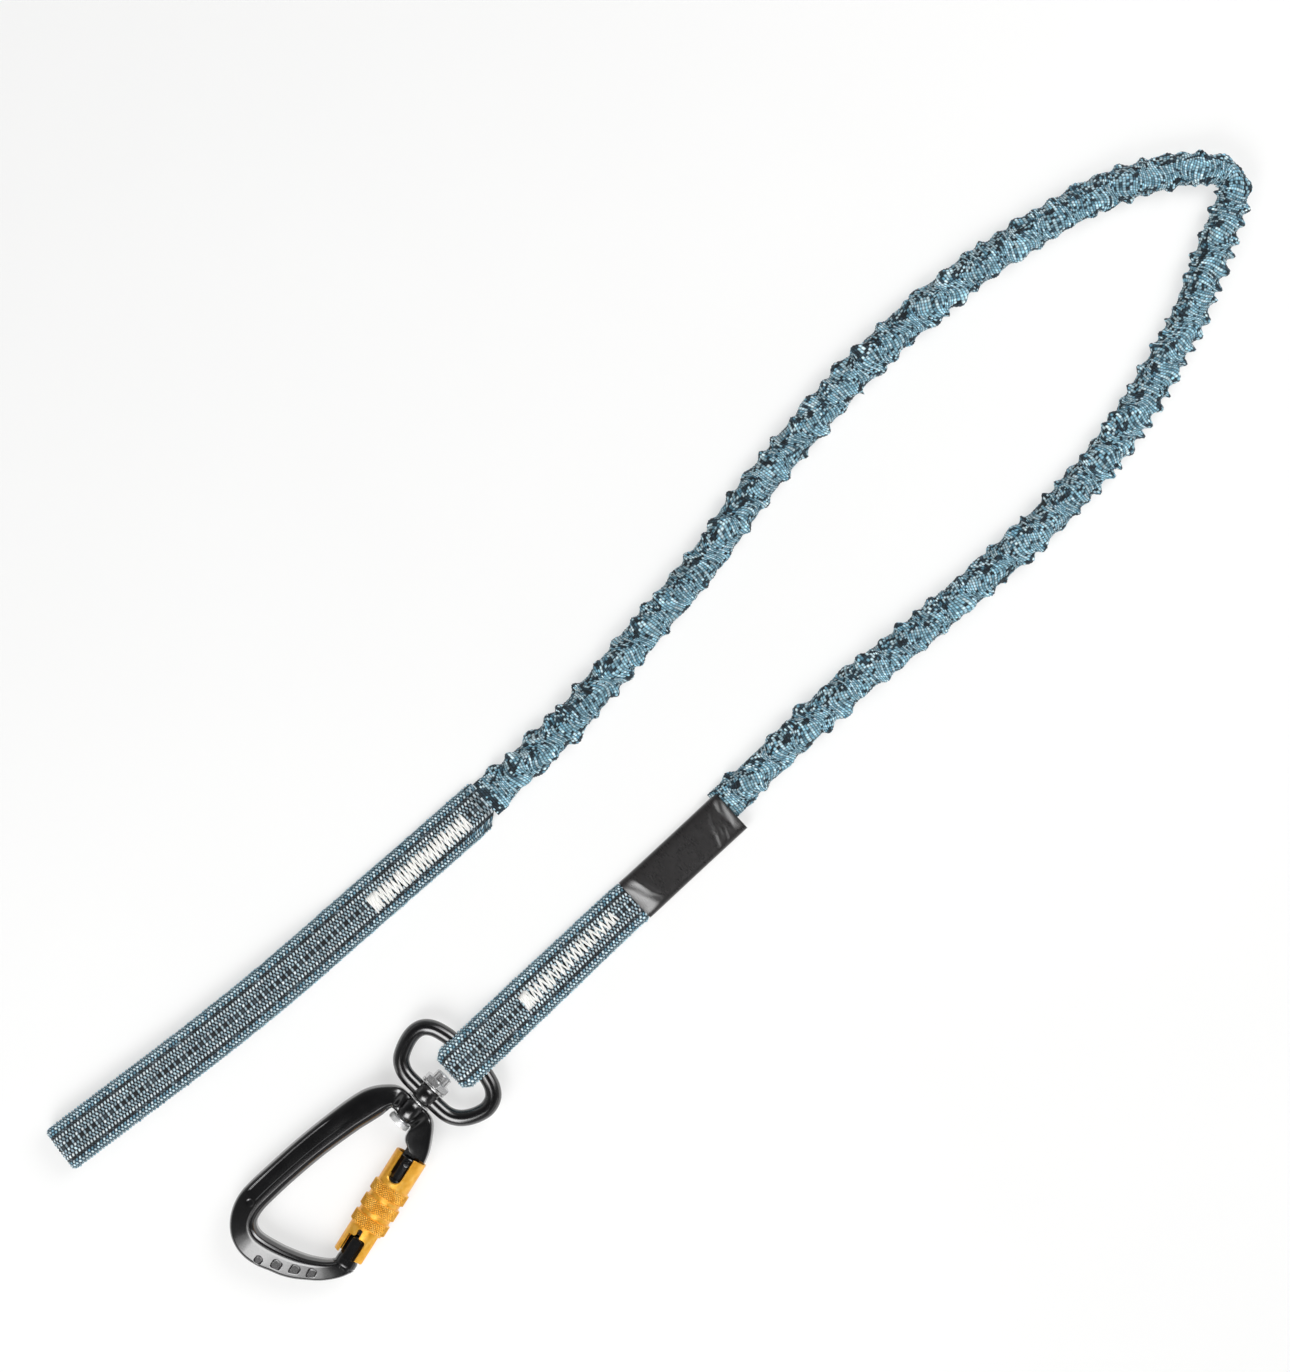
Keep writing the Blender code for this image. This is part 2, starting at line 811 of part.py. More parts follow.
# ------------------------------------------------------------------- the gate
pin_at = at_gate(PIN_T, 0)
gate = add(
    "gate",
    *spun(
        at_gate,
        [(0.9, GATE_R), (19.0, GATE_R), (19.05, GATE_NECK_R), (33.6, GATE_NECK_R), (34.1, GATE_NECK_R - 0.5)],
        24,
    ),
    pin_at,
    BLACK,
    0.6,
    0.4,
)
boolean(gate, *box(at_gate, (-1, -6, -6), (7.4, NOSE_W + 0.3, 6)), "DIFFERENCE")
boolean(gate, *box(at_gate, (28.5, -6, -TANG_H - 0.3), (40, 6, TANG_H + 0.3)), "DIFFERENCE")
boolean(gate, *spun(at_gate, [(19.8, 1.3), (29, 1.3)], 16), "DIFFERENCE")
boolean(gate, *upright(PIN_T, PIN_R + 0.12, -5, 5, 16), "DIFFERENCE")
GUIDE_T = 15.4
boolean(gate, *upright(GUIDE_T, 0.62, -5, -2.8, 12), "DIFFERENCE")
add("gate_hinge_pin", *upright(PIN_T, PIN_R, -3.0, 3.0, 16), pin_at, STEEL, 1, 0.35)
add("sleeve_guide_pin", *upright(GUIDE_T, 0.5, -4.65, -2.95, 12), at_gate(GUIDE_T, 0, -4), STEEL, 1, 0.35)
add("gate_spring", *coil(at_gate, 20.2, 25.8, 6, 0.85, 0.17, 8, 5), at_gate(20, 0), STEEL, 1, 0.35)
add(
    "gate_plunger",
    *spun(at_gate, [(26.1, 1.1), (28.4, 1.1), (28.9, 0.75), (29.1, 0.3)], 12),
    at_gate(26.1, 0),
    STEEL,
    1,
    0.35,
)

# ---------------------------------------------------------- the locking sleeve
OUTSIDE = [(0, SLEEVE_R - 0.2), (0.3, SLEEVE_R)]
for a, b in ((9.4, 12.6), (14.7, 17.9), (19.7, 22.9), (24.1, 27.6)):
    OUTSIDE += [(a, SLEEVE_R), (a + 0.35, KNURL_R), (b - 0.35, KNURL_R), (b, SLEEVE_R)]
OUTSIDE += [(SLEEVE_LEN - 0.3, SLEEVE_R), (SLEEVE_LEN, SLEEVE_R - 0.2)]
INSIDE = {0: SLEEVE_BORE}


def bore(t):
    if 14.62 <= t <= 18.0:
        return 4.85  # track of the guide pin
    if 26.75 <= t <= 27.65:
        return GATE_NECK_R + 0.3  # lip that the collar pushes on
    return SLEEVE_BORE


stops = [0, 0.3, 9.4, 14.6, 14.62, 18.0, 18.02, 22.9, 26.72, 26.75, 27.65, 27.68, 30, 32, 33, 33.5, 34, 34.1, SLEEVE_LEN - 0.3, SLEEVE_LEN]
profile = [(t, r) for t, r in OUTSIDE] + [(t, bore(t)) for t in reversed(stops)]
sleeve_rings = [ring(at_gate, t, r, 24) for t, r in profile]
sleeve = add("locking_sleeve", *loft(sleeve_rings, True), at_gate(SLEEVE_LEN / 2, 0), GOLD, 1, 0.35)
TURN = math.radians(12)  # the slots face a little towards the spine


def slot(t, w, h):
    return (
        t,
        w * math.cos(TURN) + h * math.sin(TURN),
        -w * math.sin(TURN) + h * math.cos(TURN),
    )


boolean(
    sleeve,
    *prism(
        at_gate,
        [(-1, -2.85), (5.7, -2.85), (6.7, -1.9), (6.7, -0.55), (9.0, -0.55), (9.0, 0.75), (6.7, 0.75), (6.7, 1.9), (5.7, 2.85), (-1, 2.85)],
        2.4,
        7.5,
        slot,
    ),
    "DIFFERENCE",
)
boolean(
    sleeve,
    *prism(
        at_gate,
        [(36, -2.05), (36, 2.05)]
        + [
            (27.55 + 2.05 * math.cos(a), 2.05 * math.sin(a))
            for a in np.linspace(math.pi / 2, 3 * math.pi / 2, 9)
        ],
        2.2,
        7.5,
        slot,
    ),
    "DIFFERENCE",
)
boolean(sleeve, *box(at_gate, (-1, -7.5, -2.5), (9.3, -2.3, 2.5)), "DIFFERENCE")
add(
    "sleeve_collar",
    *pipe(at_gate, [(25.1, 4.15), (26.45, 4.15)], [(25.1, GATE_NECK_R + 0.12), (26.45, GATE_NECK_R + 0.12)], 24),
    at_gate(25.1, 0),
    STEEL,
    1,
    0.4,
)
add("sleeve_spring", *coil(at_gate, 19.45, 24.7, 3.5, 3.8, 0.26, 14, 6), at_gate(19.4, 0), STEEL, 1, 0.35)
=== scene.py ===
"""Looks of the elastic tool lanyard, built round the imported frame.

Metres, +Z up, lying flat on z = 0. +X runs from the two ends towards the bend.
"""

import math

import bmesh
import bpy
import numpy as np
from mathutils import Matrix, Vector


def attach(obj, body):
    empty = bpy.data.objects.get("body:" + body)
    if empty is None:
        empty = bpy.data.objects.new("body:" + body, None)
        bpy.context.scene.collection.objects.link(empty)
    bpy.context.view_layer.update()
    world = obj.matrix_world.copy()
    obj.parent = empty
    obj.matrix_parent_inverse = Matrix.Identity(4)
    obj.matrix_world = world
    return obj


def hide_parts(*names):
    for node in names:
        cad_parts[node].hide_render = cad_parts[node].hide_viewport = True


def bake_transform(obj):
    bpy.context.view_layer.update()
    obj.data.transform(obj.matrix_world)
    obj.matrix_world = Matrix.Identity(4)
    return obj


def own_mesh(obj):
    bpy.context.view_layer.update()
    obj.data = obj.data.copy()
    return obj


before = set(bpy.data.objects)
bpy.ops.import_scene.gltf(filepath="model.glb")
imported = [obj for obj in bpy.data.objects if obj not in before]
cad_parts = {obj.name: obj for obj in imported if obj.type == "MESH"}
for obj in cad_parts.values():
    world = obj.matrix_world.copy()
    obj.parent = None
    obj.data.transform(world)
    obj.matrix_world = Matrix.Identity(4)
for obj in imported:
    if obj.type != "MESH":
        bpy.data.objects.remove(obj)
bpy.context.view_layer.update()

MM = 0.001
PLAN = 0.294 * MM
PLAN_X = -9.2796
PLAN_Y = -990.37

WEB_THICK = 1.5 * MM
PLY_GAP = 0.3 * MM
LIFT = 0.5 * MM
BUNGEE_Z = 5.45 * MM
LOOP_GAP = 5.4 * MM
LABEL_WIDTH = 14.1 * MM
LABEL_TOP = 5.4 * MM
SWIVEL_PLAN = (-483.0, -1075.0)
AXIS_Z = 5.75 * MM
EYE_R = 2.5
BOLT_R = 2.0
EYE_BAR_X = 20.0
GATE_START = (-46.3, -17.5)
GATE_ANGLE = math.radians(12.8)
PIN_T = 32.0
SLEEVE_LEN = 34.5


# ------------------------------------------------------------------- geometry
def through(points, step):
    """An even walk along a smooth curve through the points."""
    p = np.asarray(points, float)
    p = np.vstack([2 * p[0] - p[1], p, 2 * p[-1] - p[-2]])
    out = []
    for i in range(1, len(p) - 2):
        a, b, c, d = p[i - 1 : i + 3]
        t = np.linspace(0, 1, 40, endpoint=False)[:, None]
        out.append(
            0.5
            * (
                2 * b
                + (c - a) * t
                + (2 * a - 5 * b + 4 * c - d) * t**2
                + (3 * b - a - 3 * c + d) * t**3
            )
        )
    out = np.vstack([*out, p[-2]])
    return evenly(out, step)


def run_of(path):
    return np.r_[0, np.cumsum(np.linalg.norm(np.diff(path, axis=0), axis=1))]


def evenly(path, step):
    s = run_of(path)
    n = max(2, int(round(s[-1] / step)) + 1)
    at = np.linspace(0, s[-1], n)
    return np.stack([np.interp(at, s, path[:, k]) for k in range(path.shape[1])], 1)


def directions(path):
    d = np.gradient(np.asarray(path, float), axis=0)
    return d / np.linalg.norm(d, axis=1)[:, None]


def plan(p):
    p = np.asarray(p, float)
    return (p - np.array([PLAN_X, PLAN_Y])) * PLAN


SWIVEL = np.array([*plan(SWIVEL_PLAN), AXIS_Z])


def at_swivel(x, y, z=0.0):
    """Millimetres round the swivel axis to world metres."""
    x, y, z = np.broadcast_arrays(*(np.asarray(v, float) for v in (x, y, z)))
    return SWIVEL + np.stack([x, y, z], -1) * MM


def at_gate(t, w, z=0.0):
    """Millimetres along the gate's axis, across it in plan, and up."""
    c, s = math.cos(GATE_ANGLE), math.sin(GATE_ANGLE)
    t, w, z = (np.asarray(v, float) for v in (t, w, z))
    return at_swivel(GATE_START[0] + t * c - w * s, GATE_START[1] + t * s + w * c, z)


def ease(x, a, b):
    t = np.clip((np.asarray(x, float) - a) / (b - a), 0, 1)
    return t * t * (3 - 2 * t)


def grid(n, m, wrap_n=False, wrap_m=True):
    i = np.arange(n if wrap_n else n - 1)[:, None]
    k = np.arange(m if wrap_m else m - 1)[None]
    j, l = (i + 1) % n, (k + 1) % m
    return np.stack([i * m + k, i * m + l, j * m + l, j * m + k], -1).reshape(-1, 4)


def make(name, co, faces, mat, point=None, face=None, sharp=None):
    """A mesh object from points and arrays of faces, turned to face outwards."""
    co = np.asarray(co, float).reshape(-1, 3)
    parts = [np.asarray(f, int) for f in faces]
    volume = 0.0
    for f in parts:
        for k in range(1, f.shape[1] - 1):
            a, b, c = co[f[:, 0]], co[f[:, k]], co[f[:, k + 1]]
            volume += float((a * np.cross(b, c)).sum())
    if volume < 0:
        parts = [f[:, ::-1] for f in parts]
    me = bpy.data.meshes.new(name)
    me.vertices.add(len(co))
    me.vertices.foreach_set("co", co.astype(np.float32).ravel())
    sizes = np.concatenate([np.full(len(f), f.shape[1], np.int32) for f in parts])
    loops = np.concatenate([f.ravel() for f in parts]).astype(np.int32)
    me.loops.add(len(loops))
    me.loops.foreach_set("vertex_index", loops)
    me.polygons.add(len(sizes))
    starts = np.r_[0, np.cumsum(sizes)[:-1]].astype(np.int32)
    me.polygons.foreach_set("loop_start", starts)
    me.update(calc_edges=True)
    me.polygons.foreach_set("use_smooth", np.ones(len(sizes), bool))
    for key, values in (point or {}).items():
        put(me, key, values, "POINT")
    for key, values in (face or {}).items():
        put(me, key, values, "FACE")
    if sharp is not None:
        me.set_sharp_from_angle(angle=math.radians(sharp))
    me.materials.append(mat)
    obj = bpy.data.objects.new(name, me)
    bpy.context.scene.collection.objects.link(obj)
    return obj


def put(me, key, values, domain):
    values = np.asarray(values, np.float32)
    kind, field = ("FLOAT", "value") if values.ndim == 1 else ("FLOAT_VECTOR", "vector")
    a = me.attributes.new(key, kind, domain)
    a.data.foreach_set(field, values.ravel())


def cap(ring):
    """One face over a ring of point numbers."""
    return np.asarray(ring, int)[None]


def walled(outer, inner):
    """Points and faces of an open tube with a wall: two stacks of rings with as many points each."""
    n, m = outer.shape[:2]
    k = inner.shape[0]
    co = np.vstack([outer.reshape(-1, 3), inner.reshape(-1, 3)])
    off = n * m
    j = np.arange(m)
    l = (j + 1) % m
    first = np.stack([j, off + j, off + l, l], 1)
    a, b = (n - 1) * m, off + (k - 1) * m
    last = np.stack([a + j, a + l, b + l, b + j], 1)
    return co, [grid(n, m), grid(k, m)[:, ::-1] + off, first, last]


def revolve(place, profile, n, closed=False):
    """Rings round an axis from (t, r) pairs."""
    profile = np.asarray(profile, float)
    a = 2 * math.pi * np.arange(n) / n
    t, r = profile[:, :1], profile[:, 1:]
    rings = place(t + 0 * a, r * np.cos(a), r * np.sin(a))
    co = rings.reshape(-1, 3)
    faces = [grid(len(profile), n, wrap_n=closed)]
    if not closed:
        faces += [cap(np.arange(n)[::-1]), cap((len(profile) - 1) * n + np.arange(n))]
    return co, faces


def rounded(corners, radius, n=4, closed=False):
    """A chain of (t, r) corners with each corner cut by a small arc."""
    c = np.asarray(corners, float)
    radius = np.broadcast_to(radius, len(c))
    out = []
    for i in range(len(c)):
        if not closed and i in (0, len(c) - 1):
            out.append(c[i])
            continue
        p, a, b = c[i], c[i - 1] - c[i], c[(i + 1) % len(c)] - c[i]
        la, lb = np.linalg.norm(a), np.linalg.norm(b)
        d = min(radius[i], 0.49 * la, 0.49 * lb)
        if d < 1e-6:
            out.append(p)
            continue
        s, e = p + a / la * d, p + b / lb * d
        for f in np.linspace(0, 1, n + 1):
            out.append((1 - f) ** 2 * s + 2 * f * (1 - f) * p + f * f * e)
    return np.array(out)


def boolean(obj, co, faces, operation, sharp=None):
    """Joins a closed mesh to an object, or cuts it out."""
    tool = make("tool", co, faces, obj.data.materials[0])
    m = obj.modifiers.new("b", "BOOLEAN")
    m.solver, m.operation, m.object = "EXACT", operation, tool
    bpy.context.view_layer.update()
    graph = bpy.context.evaluated_depsgraph_get()
    done = bpy.data.meshes.new_from_object(obj.evaluated_get(graph))
    obj.modifiers.remove(m)
    old, obj.data = obj.data, done
    bpy.data.meshes.remove(old)
    tool_mesh = tool.data
    bpy.data.objects.remove(tool)
    bpy.data.meshes.remove(tool_mesh)


def tidy(obj, sharp):
    """After booleans: joins doubled points and marks the hard edges."""
    bm = bmesh.new()
    bm.from_mesh(obj.data)
    bmesh.ops.remove_doubles(bm, verts=bm.verts, dist=2e-6)
    bmesh.ops.dissolve_degenerate(bm, edges=bm.edges, dist=1e-6)
    bm.to_mesh(obj.data)
    bm.free()
    obj.data.polygons.foreach_set("use_smooth", np.ones(len(obj.data.polygons), bool))
    obj.data.set_sharp_from_angle(angle=math.radians(sharp))
    keep = obj.data.materials[0]
    obj.data.materials.clear()
    obj.data.materials.append(keep)
    obj.data.polygons.foreach_set("material_index", np.zeros(len(obj.data.polygons), np.int32))


# ------------------------------------------------------------------ materials
def srgb(r, g, b):
    def lin(v):
        v /= 255
        return v / 12.92 if v <= 0.04045 else ((v + 0.055) / 1.055) ** 2.4

    return (lin(r), lin(g), lin(b), 1.0)


class Shader:
    """A node material with a Principled shader."""

    def __init__(self, name):
        self.mat = bpy.data.materials.new(name)
        self.mat.use_nodes = True
        self.tree = self.mat.node_tree
        self.bsdf = self.tree.nodes["Principled BSDF"]

    def set(self, **values):
        for key, v in values.items():
            self.bsdf.inputs[key.replace("_", " ")].default_value = v
        return self

    def node(self, kind, **settings):
        n = self.tree.nodes.new("ShaderNode" + kind)
        for key, v in settings.items():
            setattr(n, key, v)
        return n

    def link(self, a, b):
        self.tree.links.new(a, b)

    def attribute(self, name, output="Fac"):
        n = self.node("Attribute", attribute_name=name)
        return n.outputs[output]

    def coords(self, scale=(1, 1, 1), attribute=None):
        m = self.node("Mapping")
        if attribute:
            src = self.attribute(attribute, "Vector")
        else:
            src = self.node("TexCoord").outputs["Object"]
        self.link(src, m.inputs["Vector"])
        m.inputs["Scale"].default_value = scale
        return m.outputs["Vector"]

    def noise(self, vector, scale, detail=3.0, rough=0.55, distortion=0.0):
        n = self.node("TexNoise")
        self.link(vector, n.inputs["Vector"])
        n.inputs["Scale"].default_value = scale
        n.inputs["Detail"].default_value = detail
        n.inputs["Roughness"].default_value = rough
        n.inputs["Distortion"].default_value = distortion
        return n.outputs["Fac"]

    def wave(self, vector, scale, distortion=0.0, direction="X", profile="SIN", detail=1.0):
        n = self.node("TexWave", wave_type="BANDS", bands_direction=direction, wave_profile=profile)
        self.link(vector, n.inputs["Vector"])
        n.inputs["Scale"].default_value = scale
        n.inputs["Distortion"].default_value = distortion
        n.inputs["Detail"].default_value = detail
        return n.outputs["Fac"]

    def ramp(self, fac, stops, interpolation="LINEAR"):
        n = self.node("ValToRGB")
        n.color_ramp.interpolation = interpolation
        e = n.color_ramp.elements
        while len(e) < len(stops):
            e.new(0.5)
        for el, (pos, colour) in zip(e, stops):
            el.position = pos
            el.color = colour
        self.link(fac, n.inputs["Fac"])
        return n.outputs["Color"]

    def math(self, operation, a, b=0.0, clamp=False):
        n = self.node("Math", operation=operation, use_clamp=clamp)
        for v, s in ((a, n.inputs[0]), (b, n.inputs[1])):
            if isinstance(v, (int, float)):
                s.default_value = v
            else:
                self.link(v, s)
        return n.outputs[0]

    def range(self, fac, low, high, a=0.0, b=1.0):
        n = self.node("MapRange")
        self.link(fac, n.inputs["Value"])
        for key, v in (("From Min", a), ("From Max", b), ("To Min", low), ("To Max", high)):
            n.inputs[key].default_value = v
        return n.outputs["Result"]

    def mix(self, fac, a, b, blend="MIX"):
        n = self.node("Mix", data_type="RGBA", blend_type=blend)
        sockets = {i.identifier: i for i in n.inputs}
        for v, s in (
            (fac, sockets["Factor_Float"]),
            (a, sockets["A_Color"]),
            (b, sockets["B_Color"]),
        ):
            if isinstance(v, (int, float, tuple)):
                s.default_value = v
            else:
                self.link(v, s)
        return next(o for o in n.outputs if o.identifier == "Result_Color")

    def grey(self, value):
        n = self.node("CombineColor")
        for k in range(3):
            self.link(value, n.inputs[k])
        return n.outputs["Color"]

    def bump(self, height, distance, strength=1.0, normal=None):
        n = self.node("Bump")
        n.inputs["Distance"].default_value = distance
        n.inputs["Strength"].default_value = strength
        self.link(height, n.inputs["Height"])
        if normal is not None:
            self.link(normal, n.inputs["Normal"])
        return n.outputs["Normal"]

    def to(self, **sockets):
        for key, v in sockets.items():
            self.link(v, self.bsdf.inputs[key.replace("_", " ")])
        return self


def webbing_material(name, stops, crevice_shade, top, sheen):
    """Woven yarn: colour by yarn, painted shade in the crevices and painted highlight on the crests, twisted fibres."""
    s = Shader(name)
    tone = s.attribute("tone")
    lay = s.coords(attribute="lay")
    fibre = s.noise(s.coords((1, 4, 1), "lay"), 2.6, 4.0, 0.6, 0.4)
    patch = s.noise(lay, 0.16, 2.0)
    colour = s.ramp(tone, stops)
    wash = s.node("HueSaturation")
    s.link(s.range(s.attribute("plain"), 1.0, 0.62), wash.inputs["Saturation"])
    s.link(colour, wash.inputs["Color"])
    colour = wash.outputs["Color"]
    shade = s.math("MULTIPLY", s.range(s.attribute("jit"), 0.78, 1.2), s.range(fibre, 0.72, 1.25))
    shade = s.math("MULTIPLY", shade, s.range(patch, 0.86, 1.14))
    # painted shade and highlight: the height attribute darkens the colour in the hollows between yarns and brightens it
    # on the crests
    shade = s.math("MULTIPLY", shade, s.range(s.attribute("painted_relief_shading"), crevice_shade, top))
    colour = s.mix(1.0, colour, s.grey(shade), "MULTIPLY")
    rough = s.range(fibre, 0.62, 0.9)
    twist = s.wave(s.coords((1.0, 0.55, 1), "lay"), 1.1, 1.5, "DIAGONAL")
    height = s.math("ADD", s.math("MULTIPLY", fibre, 0.6), s.math("MULTIPLY", twist, 0.4))
    s.set(Sheen_Weight=sheen, Sheen_Roughness=0.4, Specular_IOR_Level=0.35)
    s.to(Base_Color=colour, Roughness=rough, Normal=s.bump(height, 0.00012, 0.8))
    return s.mat


CHARCOAL = srgb(29, 32, 36)
SLATE = srgb(72, 96, 110)
BLUE = srgb(112, 160, 182)
SKY = srgb(166, 206, 221)
PALE = srgb(214, 227, 232)
WEB_STOPS = [(0.0, CHARCOAL), (0.25, SLATE), (0.5, BLUE), (0.75, SKY), (1.0, PALE)]
# after the stops: the painted shade in the hollows, the painted highlight on the crests, and the sheen weight
WEB = webbing_material("webbing_yarn", WEB_STOPS, 0.03, 1.24, 0.15)
COVER_STOPS = [
    (0.0, srgb(22, 26, 31)),
    (0.25, srgb(62, 92, 108)),
    (0.5, srgb(106, 160, 184)),
    (0.75, srgb(160, 208, 226)),
    (1.0, srgb(210, 230, 236)),
]
COVER = webbing_material("gathered_cover", COVER_STOPS, 0.05, 1.46, 0.08)


def metal_black():
    """Black coated forging: soft gloss with a fine orange peel and a few dull patches."""
    s = Shader("black_coating")
    at = s.coords()
    cloud = s.noise(at, 160, 3)
    peel = s.noise(at, 2600, 2, 0.5)
    fleck = s.noise(at, 900, 4, 0.65)
    colour = s.ramp(cloud, [(0.3, (0.0030, 0.0030, 0.0033, 1)), (0.7, (0.0060, 0.0060, 0.0064, 1))])
    rough = s.math("ADD", s.range(cloud, 0.15, 0.21), s.range(fleck, -0.03, 0.04))
    s.set(Metallic=0.0, IOR=1.55, Specular_IOR_Level=0.75, Coat_Weight=0.55, Coat_Roughness=0.11)
    s.to(Base_Color=colour, Roughness=rough, Normal=s.bump(peel, 0.00001, 0.5))
    return s.mat


def metal_steel(name, tint, rough_low, rough_high, metallic):
    """Plated steel with turning marks."""
    s = Shader(name)
    at = s.coords()
    cloud = s.noise(at, 500, 3)
    lines = s.noise(s.coords((9000, 300, 300)), 1.0, 2)
    colour = s.ramp(cloud, [(0.25, (*[0.82 * v for v in tint], 1)), (0.75, (*tint, 1))])
    rough = s.math("ADD", s.range(cloud, rough_low, rough_high), s.range(lines, -0.06, 0.06))
    s.set(Metallic=metallic, Specular_IOR_Level=0.6)
    s.to(Base_Color=colour, Roughness=rough, Normal=s.bump(lines, 0.0000016, 0.5))
    return s.mat


def metal_gold():
    """Gold anodised aluminium, satin, a little uneven."""
    s = Shader("gold_anodised")
    at = s.coords()
    cloud = s.noise(at, 420, 4, 0.6)
    grain = s.noise(at, 5200, 3, 0.6)
    colour = s.ramp(
        cloud,
        [(0.25, srgb(224, 152, 36)), (0.5, srgb(243, 178, 60)), (0.78, srgb(250, 202, 104))],
    )
    # painted shade in the knurl's hollows and painted highlight on its crests, from the height attribute
    colour = s.mix(1.0, colour, s.grey(s.range(s.attribute("painted_relief_shading"), 0.50, 1.22)), "MULTIPLY")
    rough = s.math("ADD", s.range(cloud, 0.30, 0.42), s.range(grain, -0.05, 0.05))
    s.set(Metallic=0.55, Specular_IOR_Level=0.6)
    s.to(Base_Color=colour, Roughness=rough, Normal=s.bump(grain, 0.00002, 0.6))
    return s.mat


def thread_material(name, low, high):
    s = Shader(name)
    fibre = s.noise(s.coords((1, 3, 3), "lay"), 3.0, 4, 0.6)
    ply = s.wave(s.coords((1, 1, 1), "lay"), 0.9, 0.6, "DIAGONAL")
    colour = s.ramp(fibre, [(0.2, low), (0.75, high)])
    # painted shade in the grooves between the plies and where the thread dips into the webbing, a faint painted
    # highlight on the plies
    colour = s.mix(1.0, colour, s.grey(s.range(s.attribute("painted_relief_shading"), 0.60, 1.06)), "MULTIPLY")
    height = s.math("ADD", s.math("MULTIPLY", fibre, 0.5), s.math("MULTIPLY", ply, 0.5))
    s.set(Sheen_Weight=0.2, Sheen_Roughness=0.35, Specular_IOR_Level=0.4)
    s.to(Base_Color=colour, Roughness=s.range(fibre, 0.5, 0.75), Normal=s.bump(height, 0.00006, 0.7))
    return s.mat


def label_material():
    """Black satin ribbon: fine crosswise ribs that catch the light where it bends."""
    s = Shader("label_satin")
    lay = s.coords(attribute="lay")
    rib = s.wave(lay, 0.92, 0.25, "X", detail=2.0)
    slub = s.noise(s.coords((6, 0.5, 0.5), "lay"), 1.0, 3, 0.6)
    cloud = s.noise(lay, 0.22, 3)
    colour = s.ramp(slub, [(0.25, srgb(22, 21, 22)), (0.75, srgb(44, 42, 42))])
    colour = s.mix(1.0, colour, s.grey(s.range(rib, 0.72, 1.12)), "MULTIPLY")
    rough = s.math("ADD", s.range(slub, 0.22, 0.34), s.range(cloud, -0.04, 0.05))
    height = s.math("ADD", s.math("MULTIPLY", rib, 0.7), s.math("MULTIPLY", slub, 0.3))
    s.set(Sheen_Weight=0.12, Sheen_Roughness=0.3, Specular_IOR_Level=1.0)
    s.to(Base_Color=colour, Roughness=rough, Normal=s.bump(height, 0.000016, 0.8))
    return s.mat


def core_material():
    s = Shader("elastic_strands")
    lay = s.coords((0.4, 3, 1), "lay")
    strand = s.noise(lay, 1.6, 3)
    wrap = s.wave(s.coords((1, 0.4, 1), "lay"), 1.4, 0.8, "DIAGONAL")
    colour = s.ramp(strand, [(0.3, srgb(176, 158, 124)), (0.7, srgb(214, 200, 168))])
    s.set(Specular_IOR_Level=0.4)
    s.to(Base_Color=colour, Roughness=s.range(strand, 0.5, 0.75), Normal=s.bump(wrap, 0.0001, 0.6))
    return s.mat


BLACK = metal_black()
STEEL = metal_steel("zinc_steel", (0.82, 0.82, 0.822), 0.18, 0.28, 0.82)
BOLT = metal_steel("bolt_steel", (0.98, 0.98, 0.98), 0.26, 0.36, 0.55)
SPRING = metal_steel("spring_steel", (0.56, 0.56, 0.58), 0.22, 0.34, 0.9)
GOLD = metal_gold()
THREAD = thread_material("white_thread", srgb(236, 234, 229), srgb(255, 255, 253))
DARK_THREAD = thread_material("black_thread", srgb(26, 26, 28), srgb(52, 52, 56))
LABEL = label_material()
CORE = core_material()

# --------------------------------------------------------- camera and lighting
scene = bpy.context.scene
FRAME_HIGH = 0.4034
LENS, SENSOR = 100.0, 36.0
centre = Vector((-0.00580, 0.01446, 0.0045))
far = FRAME_HIGH / 2 / (SENSOR / 2 / LENS)
cam_data = bpy.data.cameras.new("camera")
cam_data.lens, cam_data.sensor_width, cam_data.sensor_fit = LENS, SENSOR, "AUTO"
cam_data.clip_start, cam_data.clip_end = 0.05, 20
camera = bpy.data.objects.new("camera", cam_data)
camera.location = centre + Vector((0, 0, far))
camera.rotation_euler = (0, 0, math.radians(-45))
scene.collection.objects.link(camera)
scene.camera = camera


def softbox(name, direction, distance, size, power, colour=(1, 1, 1)):
    data = bpy.data.lights.new(name, "AREA")
    data.shape, data.size, data.size_y = "RECTANGLE", size[0], size[1]
    data.energy, data.color = power, colour
    o = bpy.data.objects.new(name, data)
    d = Vector(direction).normalized()
    o.location = Vector((-0.02, 0.0, 0.005)) + d * distance
    o.rotation_euler = d.to_track_quat("Z", "Y").to_euler()
    o.visible_camera = False
    scene.collection.objects.link(o)
    return o


for part_, share, grow, away_ in (("core", 0.34, 0.68, 0.83), ("mid", 0.34, 0.98, 0.85), ("rim", 0.32, 1.36, 0.87)):
    softbox("softbox_low_" + part_, (-0.66, -0.21, 0.72), away_, (0.58 * grow, 0.58 * grow), 6.3 * share)
    softbox("softbox_high_" + part_, (0.69, -0.08, 0.72), away_, (0.56 * grow, 0.54 * grow), 5.45 * share)
softbox("fill_left", (-0.10, 0.96, 0.36), 1.3, (0.9, 0.4), 0.35)
softbox("fill_right", (0.10, -0.96, 0.36), 1.3, (0.9, 0.4), 0.5)

